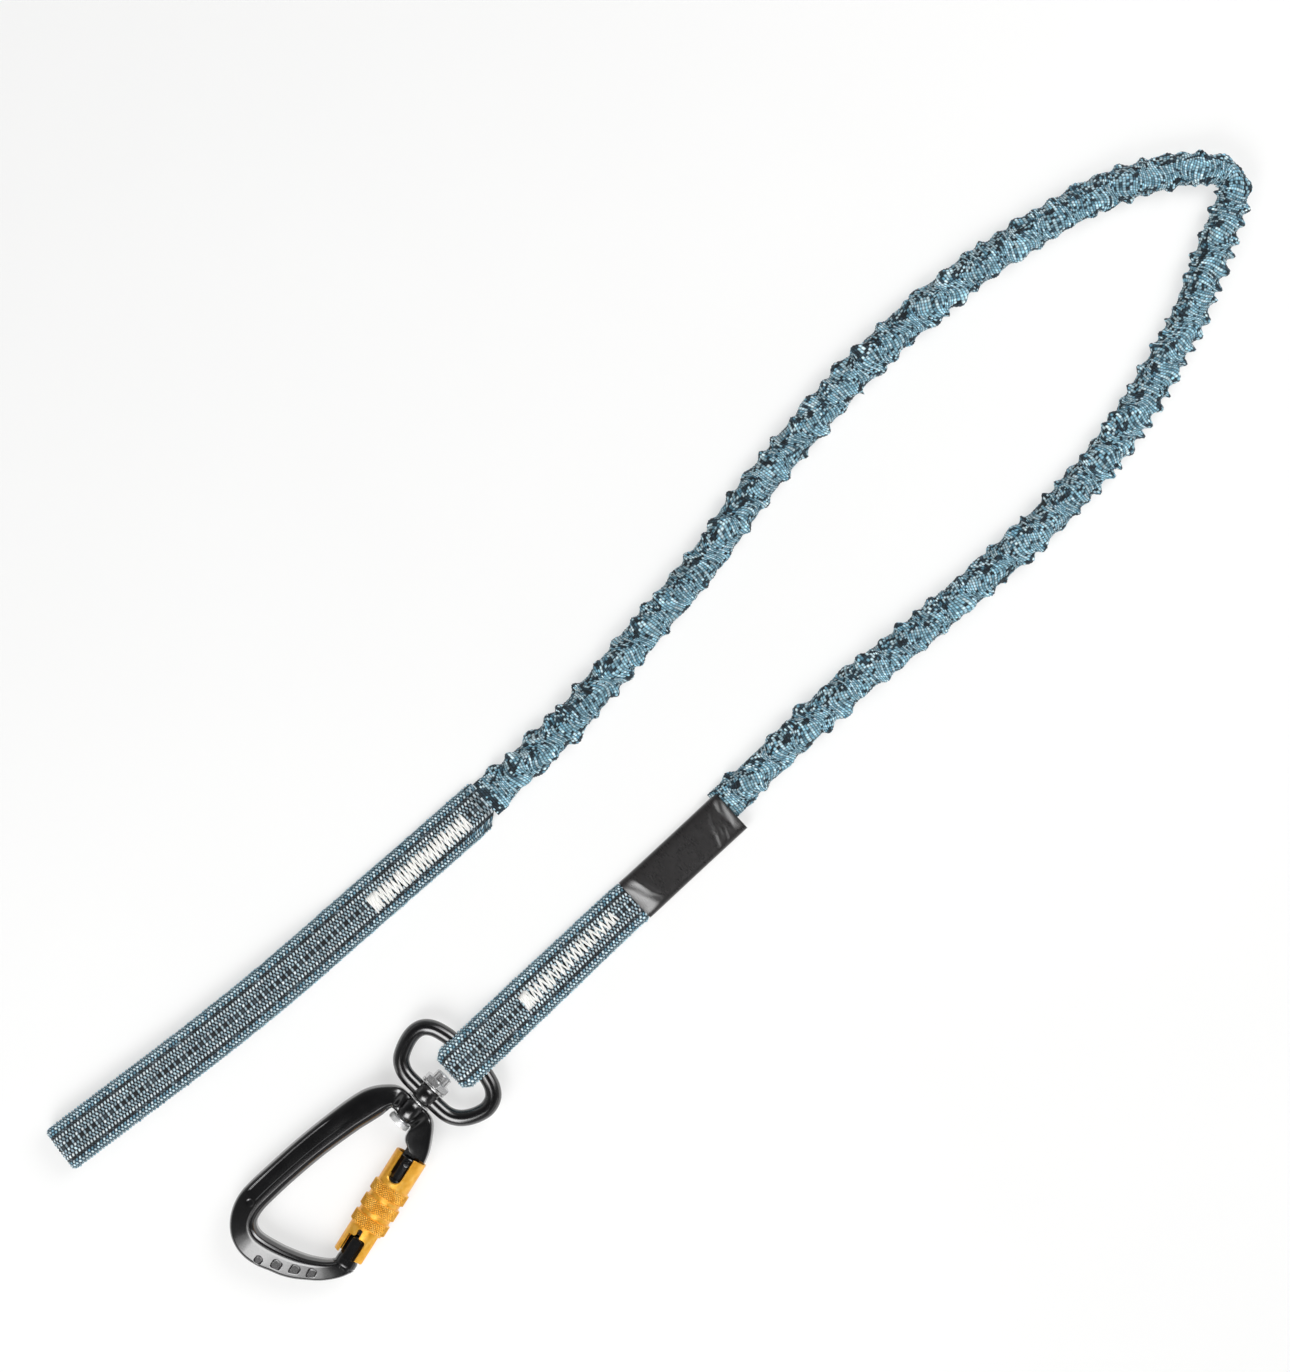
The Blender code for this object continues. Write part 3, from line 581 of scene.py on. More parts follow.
world = bpy.data.worlds.new("studio")
world.use_nodes = True
tree = world.node_tree
coord = tree.nodes.new("ShaderNodeTexCoord")
split = tree.nodes.new("ShaderNodeSeparateXYZ")
sky = tree.nodes.new("ShaderNodeValToRGB")
sky.color_ramp.elements[0].position = 0.0
sky.color_ramp.elements[0].color = (0.94, 0.945, 0.95, 1)
sky.color_ramp.elements[1].position = 0.9
sky.color_ramp.elements[1].color = (0.10, 0.10, 0.104, 1)
tree.links.new(coord.outputs["Generated"], split.inputs[0])
tree.links.new(split.outputs["Z"], sky.inputs["Fac"])
tree.links.new(sky.outputs["Color"], tree.nodes["Background"].inputs["Color"])
tree.nodes["Background"].inputs["Strength"].default_value = 0.36
scene.world = world
scene.view_settings.view_transform = "Standard"

floor_shader = Shader("pale_floor")
floor_grain = floor_shader.noise(floor_shader.coords(), 9.0, 2)
floor_shader.set(Specular_IOR_Level=0.1, Emission_Color=(1.0, 1.0, 0.995, 1), Emission_Strength=0.61)
floor_shader.to(
    Base_Color=floor_shader.ramp(
        floor_grain, [(0.3, (0.325, 0.325, 0.323, 1)), (0.7, (0.335, 0.335, 0.333, 1))]
    ),
    Roughness=floor_shader.range(floor_grain, 0.86, 0.94),
)
edge = 6.0
floor = make(
    "floor",
    [(-edge, -edge, 0), (edge, -edge, 0), (edge, edge, 0), (-edge, edge, 0)],
    [np.array([[0, 1, 2, 3]])],
    floor_shader.mat,
)
floor.location.z = -0.00005
wall_shader = Shader("pale_backdrop")
wall_cloud = wall_shader.noise(wall_shader.coords(), 0.3, 2)
wall_shader.set(Specular_IOR_Level=0.0, Roughness=1.0, Emission_Strength=0.70)
wall_shader.to(
    Base_Color=wall_shader.ramp(wall_cloud, [(0.3, (0.020, 0.020, 0.020, 1)), (0.7, (0.022, 0.022, 0.022, 1))]),
    Emission_Color=wall_shader.ramp(wall_cloud, [(0.3, (0.985, 0.985, 0.98, 1)), (0.7, (1.0, 1.0, 0.995, 1))]),
)
around = 2 * math.pi * np.arange(96) / 96
sweep = [(5.6, -0.01), (5.6, 0.02), (5.62, 0.10), (5.70, 0.6), (5.85, 4.5)]
wall = make(
    "backdrop",
    np.array([(r_ * np.cos(around), r_ * np.sin(around), np.full(96, h_)) for r_, h_ in sweep]).transpose(0, 2, 1).reshape(-1, 3),
    [grid(len(sweep), 96)],
    wall_shader.mat,
)
wall.visible_diffuse = wall.visible_glossy = wall.visible_shadow = False

# -------------------------------------------------- the gathered elastic part
BUNGEE_PLAN = [
    (-220, -909),
    (-150, -912),
    (-100, -912),
    (-50, -908),
    (0, -903),
    (100, -895),
    (200, -879),
    (300, -870),
    (400, -869),
    (500, -880),
    (600, -902),
    (650, -918),
    (700, -945),
    (730, -969),
    (743, -987),
    (742, -1000),
    (730, -1012),
    (700, -1026),
    (650, -1049),
    (600, -1069),
    (500, -1096),
    (400, -1107),
    (300, -1104),
    (200, -1096),
    (100, -1085),
    (0, -1082),
    (-54.5, -1081),
]
path = plan(through(BUNGEE_PLAN, 0.5))
d = directions(path)
EXTRA = 0.006
path = np.vstack([path[0] - d[0] * EXTRA, path, path[-1] + d[-1] * EXTRA])
path_s = run_of(path) - EXTRA
FULL = path_s[-1] - EXTRA
path_d = directions(path)
# the two added ends are straight
path_d[0], path_d[1], path_d[-1], path_d[-2] = d[0], d[0], d[-1], d[-1]
TIP = float(path_s[np.argmax(path[:, 0])])

STEP = 0.245 * MM
RIB = 3  # rings to a rib of weft
COLUMNS = 72
TUCK_IN = 1.1 * MM  # the cover runs on into the choke webbing
TUCK_OUT = 2.4 * MM  # and into the label


def on_path(s):
    xy = np.stack([np.interp(s, path_s, path[:, k]) for k in range(2)], -1)
    e = np.stack([np.interp(s, path_s, path_d[:, k]) for k in range(2)], -1)
    return xy, e / np.linalg.norm(e, axis=-1)[..., None]


def cover_shape(s):
    """Half width, half height, height of the middle and depth of the gathers along the cover."""
    a_in, a_out = ease(s, -1.0 * MM, 9 * MM), ease(FULL - s, -2.0 * MM, 9 * MM)
    b_in, b_out = ease(s, -1.2 * MM, 13 * MM), ease(FULL - s, -2.0 * MM, 12 * MM)
    bend = np.exp(-(((s - TIP) / (15 * MM)) ** 2))
    round_ = 4.55 * MM * (1 - 0.10 * bend)
    a = round_ + (5.9 * MM - round_) * (1 - a_in) + (5.5 * MM - round_) * (1 - a_out)
    b = round_ + (0.85 * MM - round_) * (1 - b_in) + (1.9 * MM - round_) * (1 - b_out)
    mid = (b + 0.7 * MM) + (1.3 * MM - 1.55 * MM) * (1 - b_in) + 0.1 * MM * (1 - b_out)
    g = MM * ease(s, -1 * MM, 5 * MM) * ease(FULL - s, -2 * MM, 4 * MM)
    return a, b, mid, g * (1 - 0.15 * bend)


rng = np.random.default_rng(41)
rings = int(round((FULL + TUCK_IN + TUCK_OUT) / STEP / RIB)) * RIB
S = np.linspace(-TUCK_IN, FULL + TUCK_OUT, rings + 1)
turn_at = np.deg2rad(-25 + 52 * ease(S, TIP - 55 * MM, TIP + 55 * MM))
psi = 2 * math.pi * np.arange(COLUMNS) / COLUMNS
phi = turn_at[:, None] + psi[None]  # 0 is up, positive to the left of travel

# low rings all along
pleat = [1.4 * MM]
while pleat[-1] < FULL:
    pleat.append(pleat[-1] + 4.5 * MM * (1 + 0.32 * rng.uniform(-1, 1)))
pleat = np.array(pleat)
K = len(pleat)
swell = np.zeros((K, COLUMNS))
for k in range(K):
    f = psi + float(np.interp(pleat[k], S, turn_at))
    v = 0.60 + 0.22 * np.cos(f - rng.uniform(0, 6.28)) + 0.18 * np.cos(2 * f - rng.uniform(0, 6.28))
    swell[k] = v * rng.uniform(0.5, 1.15)
right = np.clip(np.searchsorted(pleat, S), 1, K - 1)
left = right - 1
f = np.clip((S - pleat[left]) / (pleat[right] - pleat[left]), 0, 1)
fall = (0.5 + 0.5 * np.cos(2 * math.pi * f)) ** 0.9
near = np.where(f < 0.5, left, right)
H = 0.52 * swell[near] * fall[:, None]  # millimetres


# and puffs and folds standing out of them
def puff(s0, f0, tall, along, around, tilt):
    """A soft bump on the cover; sizes in millimetres, tilt turns it in the surface."""
    reach = 3 * max(along, around) * MM
    i0, i1 = np.searchsorted(S, (s0 - reach, s0 + reach))
    ds = (S[i0:i1, None] - s0) / MM
    dt = 5.0 * np.angle(np.exp(1j * (phi[i0:i1] - f0)))
    c, s_ = math.cos(tilt), math.sin(tilt)
    u, v = ds * c + dt * s_, dt * c - ds * s_
    H[i0:i1] += tall * np.exp(-np.abs(u / along) ** 2.3 - np.abs(v / around) ** 2.3)


for sign in (1, -1):
    at = rng.uniform(2, 6) * MM
    while at < FULL - 2 * MM:
        close = math.exp(-(((at - TIP - 45 * MM) / (60 * MM)) ** 2))
        outer = 1.0 if sign > 0 else 0.92
        if sign > 0 and close > 0.4 and at > TIP + 4 * MM:
            puff(
                at,
                math.radians(rng.normal(84, 5)),
                rng.uniform(1.7, 2.4),
                rng.uniform(1.0, 1.35),
                rng.uniform(1.5, 2.2),
                rng.uniform(-0.25, 0.25),
            )
            at += rng.uniform(4.2, 5.4) * MM
            continue
        puff(
            at,
            sign * math.radians(rng.normal(78, 15)),
            rng.uniform(0.7, 2.0) * outer * (1 + 0.12 * close),
            rng.uniform(1.2, 2.3) * (1 - 0.45 * close),
            rng.uniform(1.6, 3.0) * (1 - 0.2 * close),
            rng.uniform(-0.5, 0.5),
        )
        at += rng.uniform(5.0, 10.0) * MM * (1 - 0.45 * close)
at = 4 * MM
while at < FULL - 2 * MM:
    puff(
        at,
        math.radians(rng.uniform(-62, 62)),
        rng.uniform(0.3, 0.9),
        rng.uniform(0.8, 1.3),
        rng.uniform(2.2, 4.2),
        rng.choice([-1, 1]) * rng.uniform(0.15, 0.85),
    )
    if rng.uniform() < 0.7:
        puff(
            at + rng.uniform(-2, 2) * MM,
            math.pi + math.radians(rng.uniform(-60, 60)),
            rng.uniform(0.2, 0.7),
            rng.uniform(0.8, 1.3),
            rng.uniform(2.0, 4.0),
            rng.uniform(-0.8, 0.8),
        )
    at += rng.uniform(2.6, 6.2) * MM
H = np.where(H > 1.7, 1.7 + 0.6 * np.tanh((H - 1.7) / 0.6), H)

# the ribs of weft wander a little round the cord
slide = np.zeros(phi.shape)
for n in range(9):
    slide = slide + rng.uniform(0.12, 0.34) * MM * np.cos(
        2 * math.pi * S[:, None] / (rng.uniform(7, 26) * MM)
        + rng.integers(1, 4) * rng.choice([-1, 1]) * phi
        + rng.uniform(0, 6.28)
    )
quiet = ease(S, 0, 7 * MM) * ease(FULL - S, -1 * MM, 6 * MM)
slide = slide * (quiet * (1 - 0.5 * np.exp(-(((S - TIP) / (13 * MM)) ** 2))))[:, None]

# weft ribs, broken into strokes round the cord
zone = np.zeros(COLUMNS, int)  # 0 blue, 1 dark line, 2 tweed
for j in range(COLUMNS):
    c = abs((2.5 + 5 * j + 180) % 360 - 180)
    zone[j] = 0 if c < 37 or c > 142 else 1 if c < 52 or c > 127 else 2


def cells(parity):
    """Which stroke each column belongs to, and where it starts and ends."""
    stops, j = [], 0
    while j < COLUMNS:
        length = 1 if parity and not stops else 2
        stops.append(j)
        j += length
    ids = np.searchsorted(stops, np.arange(COLUMNS), side="right") - 1
    ends = np.r_[stops[1:], COLUMNS]
    return ids, np.array(stops)[ids], ends[ids]


rib_of = np.arange(rings) // RIB
ids, starts, stops = zip(*(cells(p) for p in (0, 1)))
parity = rib_of % 2
cell = np.stack(ids)[parity]  # rings x columns
column = np.arange(COLUMNS)
inside = [(column - starts[p]) / (stops[p] - starts[p]) for p in (0, 1)]
rib_x = np.sin(math.pi * (np.arange(rings + 1) % RIB) / RIB)
rib_y = np.sin(math.pi * np.stack(inside)) ** 0.5
parity_v = (np.arange(rings + 1) // RIB) % 2
count = rib_of[-1] + 1
height_of = rng.uniform(0.62, 1.15, (count + 1, COLUMNS))
tall = height_of[np.minimum(np.arange(rings + 1) // RIB, count)[:, None], np.vstack([cell, cell[-1:]])]
stroke = rib_x[:, None] ** 0.8 * (0.34 + 0.66 * rib_y[parity_v]) * tall

a, b, mid, g = (v[:, None] for v in cover_shape(S))
fine = 0.25 * MM * ease(S, -1.2 * MM, 2 * MM)[:, None]
h = H * g + (stroke - 0.5) * fine
spot = S[:, None] + slide
xy, e = on_path(spot)
side = np.stack([-e[..., 1], e[..., 0]], -1)
across = (a + h) * np.sin(phi)
up = mid + (b + h) * np.cos(phi)
# it lies on the floor
floor_z = 0.04 * MM
press = 0.5 * MM
low = up - floor_z
up = np.where(low < press, floor_z + press * np.exp(np.minimum(low - press, 0) / press), up)
cover = np.concatenate([xy + side * across[..., None], up[..., None]], -1)

r1, r2, r3 = (rng.uniform(0, 1, (count + 1, COLUMNS))[rib_of[:, None], cell] for _ in range(3))
Hf = np.clip((H[:-1] + H[1:]) / 2 / 1.2, 0, 1.2)
# the two dark lines of the weave show as short dashes between the gathers
dash = np.zeros((count + 1, COLUMNS))
for line in (8, 26, 45, 63):
    at = int(rng.integers(0, 5))
    while at < count:
        long_ = int(rng.integers(2, 5))
        over_ = int(rng.integers(-2, 3))
        for q in range(long_):
            wide_ = 1 + int(0 < q < long_ - 1)
            dash[at + q : at + q + 1, line + over_ - wide_ : line + over_ + wide_ + 1] = 1
        at += long_ + int(rng.integers(4, 13))
dash = dash[rib_of]
z = zone[None]
dark = np.where(z == 0, 0.03 + 0.07 * (1 - Hf), np.where(z == 1, 0.26, 0.30 + 0.32 * (Hf > 0.85)))
dark = np.where(dash > 0, 0.9, dark)
comb = (rib_of % 2)[:, None]  # lighter and darker ribs take turns
blue_tone = np.where(comb == 0, 0.68 + 0.25 * r3, 0.48 + 0.28 * r3)
blue_tone = np.where(r2 < 0.10, 0.96 - 0.72 * comb, blue_tone)
tweed_tone = np.where(r2 < 0.55 + 0.2 * (1 - comb), 0.78 + 0.22 * r3, 0.40 + 0.26 * r3)
line_tone = np.where(r2 < 0.3, 0.32 + 0.2 * r3, 0.70 + 0.3 * r3)
tone = np.where(z == 0, blue_tone, np.where(z == 2, tweed_tone, line_tone))
tone = np.where(r1 < dark, 0.02 + 0.12 * r3, tone)
joint_band = np.exp(-(((S[:-1] + S[1:]) / 2 - 0.5 * MM) / (1.6 * MM)) ** 2)[:, None]
tone = np.where(r3 < joint_band * 0.86, 0.03 + 0.15 * r2, tone)
tone = np.clip(tone, 0, 1)
# painted shade and highlight: darker at the ends of each weft stroke and in the low valleys between the puffs, lighter
# on the raised strokes
lit = 0.62 + 0.38 * np.clip(H / 0.8, 0, 1)
painted_relief_shading = np.clip((0.10 + 1.05 * np.clip(stroke, 0, 1)) * lit, 0, 1)
lay = np.stack(
    [
        np.broadcast_to(S[:, None] / MM, phi.shape),
        np.broadcast_to(psi[None] * 5.2, phi.shape),
        np.zeros(phi.shape),
    ],
    -1,
)

# one piece for each strand, meeting in the valley nearest the bend
valley = (pleat[:-1] + pleat[1:]) / 2
part = int(round((valley[np.argmin(np.abs(valley - TIP))] + TUCK_IN) / STEP / RIB)) * RIB
SPLIT = float(S[part])


def cover_piece(name, i0, i1):
    outer = cover[i0 : i1 + 1]
    n = i1 + 1 - i0
    picks = np.unique(np.r_[np.arange(i0, i1, 20), i1])
    xy, e = on_path(S[picks])
    side = np.stack([-e[:, 1], e[:, 0]], -1)
    bore = 0.62
    w = (a[picks] * bore) * np.sin(phi[picks])
    v = mid[picks] + (b[picks] * bore) * np.cos(phi[picks])
    inner = np.concatenate([xy[:, None] + side[:, None] * w[..., None], v[..., None]], -1)
    co, faces = walled(outer, inner)
    hidden = len(picks) * COLUMNS
    face_rest = sum(len(q) for q in faces[1:])

    def all_points(v, fill):
        v = v[i0 : i1 + 1].reshape(n * COLUMNS, *v.shape[2:])
        return np.concatenate([v, np.full((hidden, *v.shape[1:]), fill)])

    def all_faces(v, fill):
        return np.r_[v[i0:i1].reshape(-1), np.full(face_rest, fill)]

    obj = make(
        name,
        co,
        faces,
        COVER,
        point={"painted_relief_shading": all_points(painted_relief_shading, 0.2), "lay": all_points(lay, 0.0)},
        face={"tone": all_faces(tone, 0.05), "jit": all_faces(r3, 0.5)},
    )
    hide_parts("bungee_cover")
    return obj


def route3(s):
    xy, _ = on_path(np.asarray(s))
    return np.concatenate([xy, cover_shape(np.asarray(s))[2][:, None]], 1)


cover_a = cover_piece("gathered_cover_choke_strand", 0, part)
cover_b = cover_piece("gathered_cover_swivel_strand", part, rings)
tip_at = route3([TIP])[0]


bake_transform(cover_a)
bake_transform(cover_b)


# the bundle of elastic strands inside
def core_piece(name, s0, s1):
    s = np.linspace(s0, s1, int(abs(s1 - s0) / (0.7 * MM)) + 2)
    xy, e = on_path(s)
    side = np.stack([-e[:, 1], e[:, 0]], -1)
    n = 48
    th = 2 * math.pi * np.arange(n) / n
    end = np.minimum(s - 10 * MM, FULL - 10 * MM - s)
    r = 2.35 * MM + 0.12 * MM * ease(end, 0, 4 * MM)
    lobes = 1 + 0.06 * np.abs(np.cos(6 * th[None] + s[:, None] / (4.0 * MM)))
    rr = r[:, None] * lobes
    height = cover_shape(s)[2]
    w, v = rr * np.sin(th), height[:, None] + rr * np.cos(th)
    co = np.concatenate([xy[:, None] + side[:, None] * w[..., None], v[..., None]], -1)
    m = len(s)
    faces = [grid(m, n), cap(np.arange(n)[::-1]), cap((m - 1) * n + np.arange(n))]
    lay = np.stack(
        [
            np.broadcast_to(s[:, None] / MM, (m, n)),
            np.broadcast_to(th[None] * 2.4, (m, n)),
            np.zeros((m, n)),
        ],
        -1,
    ).reshape(-1, 3)
    obj = make(name, co, faces, CORE, point={"lay": lay}, sharp=50)
    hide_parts("elastic_core")
    return obj


core_a = core_piece("elastic_core_choke_strand", 10 * MM, SPLIT)
core_b = core_piece("elastic_core_swivel_strand", SPLIT, FULL - 10 * MM)
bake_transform(core_a)
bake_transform(core_b)

# -------------------------------------------------------------- woven straps
PICK = 1.10 * MM  # along the webbing
# where each row of yarn ends, from the middle: tweed, a narrow dark line, blue borders
ROWS = np.array([0.62, 1.64, 2.72, 3.84, 4.62, 5.54, 6.41]) * MM
SHIFTED = np.array([0, 0, 1, 0, 1, 0, 1, 0, 1, 0])  # rows that lie half a pick further on
# weave draft: tone along two picks (four steps each), from the middle row to the edge
DRAFT = np.array(
    [
        (0.14, 0.58, 0.64, 0.18, 0.02, 0.02, 0.02, 0.02),
        (0.18, 0.94, 1.00, 0.40, 0.06, 0.50, 0.58, 0.10),
        (0.04, 0.54, 0.66, 0.12, 0.04, 0.48, 0.58, 0.10),
        (0.04, 0.88, 1.00, 0.20, 0.03, 0.76, 0.88, 0.12),
        (0.02, 0.05, 0.18, 0.04, 0.02, 0.05, 0.22, 0.03),
        (0.12, 0.44, 0.52, 0.16, 0.20, 0.90, 1.00, 0.38),
        (0.32, 0.88, 1.00, 0.46, 0.28, 0.88, 1.00, 0.46),
        (0.30, 0.70, 0.90, 0.44, 0.32, 0.74, 0.94, 0.46),
    ]
)


def strap(name, mids, wide, normal, half, mat, seed, skew=None, jit_scale=1.0):
    """Woven webbing as a flat tube of knobbly yarn, swept along a line of middles."""
    rnd = np.random.default_rng(seed)
    n = len(mids)
    t = WEB_THICK / 2 - 0.05 * MM
    flat = ROWS[-1]
    ends_ = np.r_[-ROWS[::-1], ROWS]  # edges of the thirteen rows
    # the section: (across, up, normal across, normal up, row, share of the row)
    sect = []
    per = 4
    # round each edge: half a bead on top, a whole one on the rim, none on the inner side
    edge_row, edge_share = (-1, -1, 0, 0, 0, 0, 1, 1), (0, 0.5, 0, 0.25, 0.5, 0.75, 0, 0)
    for q in range(13 * per):
        w = float(np.interp(q / per, np.arange(14), ends_))
        sect.append((w, t, 0, 1, q // per - 6, (q % per) / per))
    for q in range(8):
        c = math.pi * q / 8
        sect.append((flat + t * math.sin(c), t * math.cos(c), math.sin(c), math.cos(c), 8 + edge_row[q], edge_share[q]))
    for q in range(13):
        sect.append((ends_[13 - q], -t, 0, -1, 20 + q, 0))
    for q in range(8):
        c = math.pi * q / 8
        sect.append((-flat - t * math.sin(c), -t * math.cos(c), -math.sin(c), -math.cos(c), -8 + edge_row[q], (0, *edge_share[:0:-1])[q]))
    sect = np.array(sect)
    m = len(sect)
    row = sect[:, 4].astype(int)
    mid_row = np.where(row >= 20, row - 26, row)
    odd = SHIFTED[np.abs(mid_row)]
    i = np.arange(n)[:, None]
    px = np.sin(math.pi * ((i + 2 * odd[None]) % 4) / 4)
    py = np.sin(math.pi * sect[:, 5])[None]
    pick = (i + 2 * odd[None]) // 4
    tall = rnd.uniform(0.7, 1.15, (n // 4 + 3, 64))[pick, row[None] + 9]
    inner = (row >= 20)[None]
    knob = np.where(inner, 0.25 + px * 0.6, (px * np.maximum(py, 0.0)) ** 0.7) * tall
    # the dark lines lie a little lower than the rest
    sunk = np.where(np.abs(row) == 4, 0.55, 1.0)[None]
    ends = np.minimum(np.arange(n), np.arange(n)[::-1])
    rise = np.where(inner, 0.14, np.where(np.abs(row)[None] >= 7, 0.62, 0.42)) * MM * (knob * sunk * ease(ends, 0, 3)[:, None] - 0.45)
    zig = np.where(inner, 0.0, 0.13 * MM * (2 * sect[:, 5] - 1) * np.where(odd == 1, -1, 1))[None]
    zig = zig * ease(ends, 0, 4)[:, None]
    stretch = (half / (flat + t))[:, None]
    across = sect[None, :, 0] * stretch + sect[None, :, 2] * rise
    over = sect[None, :, 1] + sect[None, :, 3] * rise
    along = directions(mids)
    if skew is not None:
        zig = zig + skew[:, None] * ease(-across / (flat + t), 0.42, 1.0)
    co = (
        mids[:, None]
        + wide[:, None] * across[..., None]
        + normal[:, None] * over[..., None]
        + along[:, None] * zig[..., None]
    )
    soft = rnd.normal(0, 0.03 * MM, (n, m))
    co = co + normal[:, None] * soft[..., None] * (sect[:, 3] ** 2)[None, :, None]
    co[..., 2] = np.maximum(co[..., 2], 0.02 * MM)
    faces = [grid(n, m), cap(np.arange(m)[::-1]), cap((n - 1) * m + np.arange(m))]
    # colour by yarn
    fi = np.arange(n - 1)[:, None]
    step = fi + 2 * odd[None]
    f_pick = step // 4
    col = np.clip(np.abs(mid_row), 0, 7)
    tone = DRAFT[col[None], step % 8]
    r = rnd.uniform(0, 1, (n // 4 + 3, 64))[f_pick, row[None] + 9]
    r2 = rnd.uniform(0, 1, (n // 4 + 3, 64))[f_pick, row[None] + 9]
    tone = np.clip(tone + np.where(col >= 5, 0.24, 0.30)[None] * (r - 0.5), 0, 1)
    # now and then a dark pick shows in the blue, and a light one in the dark lines
    tone = np.where((r2 > 0.95) & (col >= 5)[None], tone * 0.45, tone)
    tone = np.where((r2 > 0.96) & (col == 4)[None], 0.35, tone)
    tone = np.concatenate([tone.reshape(-1), [0.9, 0.9]])
    # the yarn brightness values are scaled down here, which makes a strap darker overall
    jit = np.concatenate([jit_scale * r2.reshape(-1), [0.9, 0.9]])
    plain = np.concatenate([np.broadcast_to((col <= 4)[None], (n - 1, m)).reshape(-1), [0, 0]])
    s = run_of(mids) / MM
    girth = np.r_[0, np.cumsum(np.hypot(*np.diff(sect[:, :2], axis=0).T))] / MM
    lay = np.stack(
        [np.broadcast_to(s[:, None], (n, m)), np.broadcast_to(girth[None], (n, m)), np.zeros((n, m))],
        -1,
    )
    # painted shade between the knobs and painted highlight on their tops, from the knob height
    obj = make(
        name,
        co,
        faces,
        mat,
        point={"painted_relief_shading": np.clip(0.10 + 1.0 * knob, 0, 1).reshape(-1), "lay": lay.reshape(-1, 3)},
        face={"tone": tone, "jit": jit, "plain": plain},
    )
    return obj


def folded(points, route):
    """A line of (s, z) in the vertical plane of a route: middles, width way, outward normals."""
    pts = evenly(np.asarray(points), PICK / 4)
    run = run_of(route)
    d = directions(route)
    e = directions(pts)
    s = pts[:, 0]
    xy = np.stack([np.interp(s, run, route[:, k]) for k in range(2)], 1)
    dd = np.stack([np.interp(s, run, d[:, k]) for k in range(2)], 1)
    below = s < 0
    xy[below] = route[0] + s[below, None] * d[0]
    mids = np.concatenate([xy, pts[:, 1:]], 1)
    wide = np.stack([-dd[:, 1], dd[:, 0], 0 * s], 1)
    normal = np.stack([-e[:, 1] * dd[:, 0], -e[:, 1] * dd[:, 1], e[:, 0]], 1)
    return mids, wide, normal, s


CHOKE_PLAN = [
    (-772, -856),
    (-700, -866),
    (-600, -880),
    (-500, -891),
    (-400, -898),
    (-300, -905),
    (-222, -910),
]
choke_route = plan(through(CHOKE_PLAN, 3))
choke_run = run_of(choke_route)


def s_at(route, run, x_plan):
    return float(np.interp(plan((x_plan, 0))[0], route[:, 0], run))


STITCH_A = s_at(choke_route, choke_run, -378)
STITCH_B = s_at(choke_route, choke_run, -250)


def choke_low(s):
    return WEB_THICK / 2 + LIFT * ease(s, STITCH_A - 30 * MM, STITCH_A - 8 * MM)


def choke_high(s):
    gap = PLY_GAP + (LOOP_GAP - PLY_GAP) * (1 - ease(s, STITCH_A - 36 * MM, STITCH_A - 4 * MM))
    return choke_low(s) + WEB_THICK + gap


end_low = s_at(choke_route, choke_run, -223.0)
end_high = s_at(choke_route, choke_run, -233)
round_up = float(choke_high(0.004) - choke_low(0.004)) / 2
points = [(s, float(choke_low(s))) for s in np.linspace(end_low, 5.2 * MM, 120)]
for a_ in np.linspace(0, math.pi, 40)[1:-1]:
    points.append(
        (
            5.2 * MM - (5.2 * MM - WEB_THICK / 2) * math.sin(a_),
            float(choke_low(0)) + round_up * (1 - math.cos(a_)),
        )
    )
points += [(s, float(choke_high(s))) for s in np.linspace(5.2 * MM, end_high, 120)]
mids, wide, normal, s = folded(points, choke_route)
half = 7.1 * MM - 0.6 * MM * (1 - ease(s, 0.2 * MM, 2.2 * MM))
upper = np.arange(len(mids)) > len(mids) / 2
# a corner of the cut end is turned back
skew = np.where(upper, -1, 1) * 3.6 * MM * ease(s, end_high - 13 * MM, end_high)
# the choke strap is a little darker overall than the end strap
choke = strap("choke_loop_strap", mids, wide, normal, half, WEB, 5, skew, 0.68)
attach(choke, "choke_end")
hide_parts("choke_loop_webbing")

END_PLAN = [
    (-441, -1077),
    (-340, -1080.5),
    (-213, -1084),
    (-188, -1085.5),
    (-110, -1088.5),
    (-56, -1090.5),
]
end_route = plan(through(END_PLAN, 3))
end_run = run_of(end_route)
BAR_S = float(at_swivel(EYE_BAR_X, 0)[0] - end_route[0][0])
WRAP = (EYE_R + 0.35) * MM + WEB_THICK / 2
END_A = s_at(end_route, end_run, -340)
END_B = s_at(end_route, end_run, -213)
LABEL_A = s_at(end_route, end_run, -188)
LABEL_B = s_at(end_route, end_run, -56)
FLAT = LIFT + 0.3 * MM + WEB_THICK / 2


def end_low_z(s):
    nearz = AXIS_Z - WRAP
    return nearz + (FLAT - nearz) * ease(s, BAR_S + 3 * MM, END_A - 4 * MM)


def end_high_z(s):
    nearz = AXIS_Z + WRAP
    return nearz + (FLAT + WEB_THICK + PLY_GAP - nearz) * ease(s, BAR_S + 2 * MM, END_A - 4 * MM)


turn_s = WRAP + WEB_THICK / 2
points = [(s, float(end_low_z(s))) for s in np.linspace(LABEL_B - 3.2 * MM, turn_s, 120)]
for a_ in np.linspace(0, math.pi, 40)[1:-1]:
    points.append((turn_s - WRAP * math.sin(a_), AXIS_Z - WRAP * math.cos(a_)))
points += [(s, float(end_high_z(s))) for s in np.linspace(turn_s, LABEL_B - 14 * MM, 120)]
mids, wide, normal, s = folded(points, end_route)
half = 7.15 * MM - 0.35 * MM * ease(s, 20 * MM, LABEL_A) - 1.1 * MM * ease(s, LABEL_A - 1.2 * MM, LABEL_A + 0.8 * MM)
half = half - 1.7 * MM * (1 - ease(s, 0.3 * MM, 3.4 * MM)) ** 1.5
end_strap = strap("end_loop_strap", mids, wide, normal, half, WEB, 9)
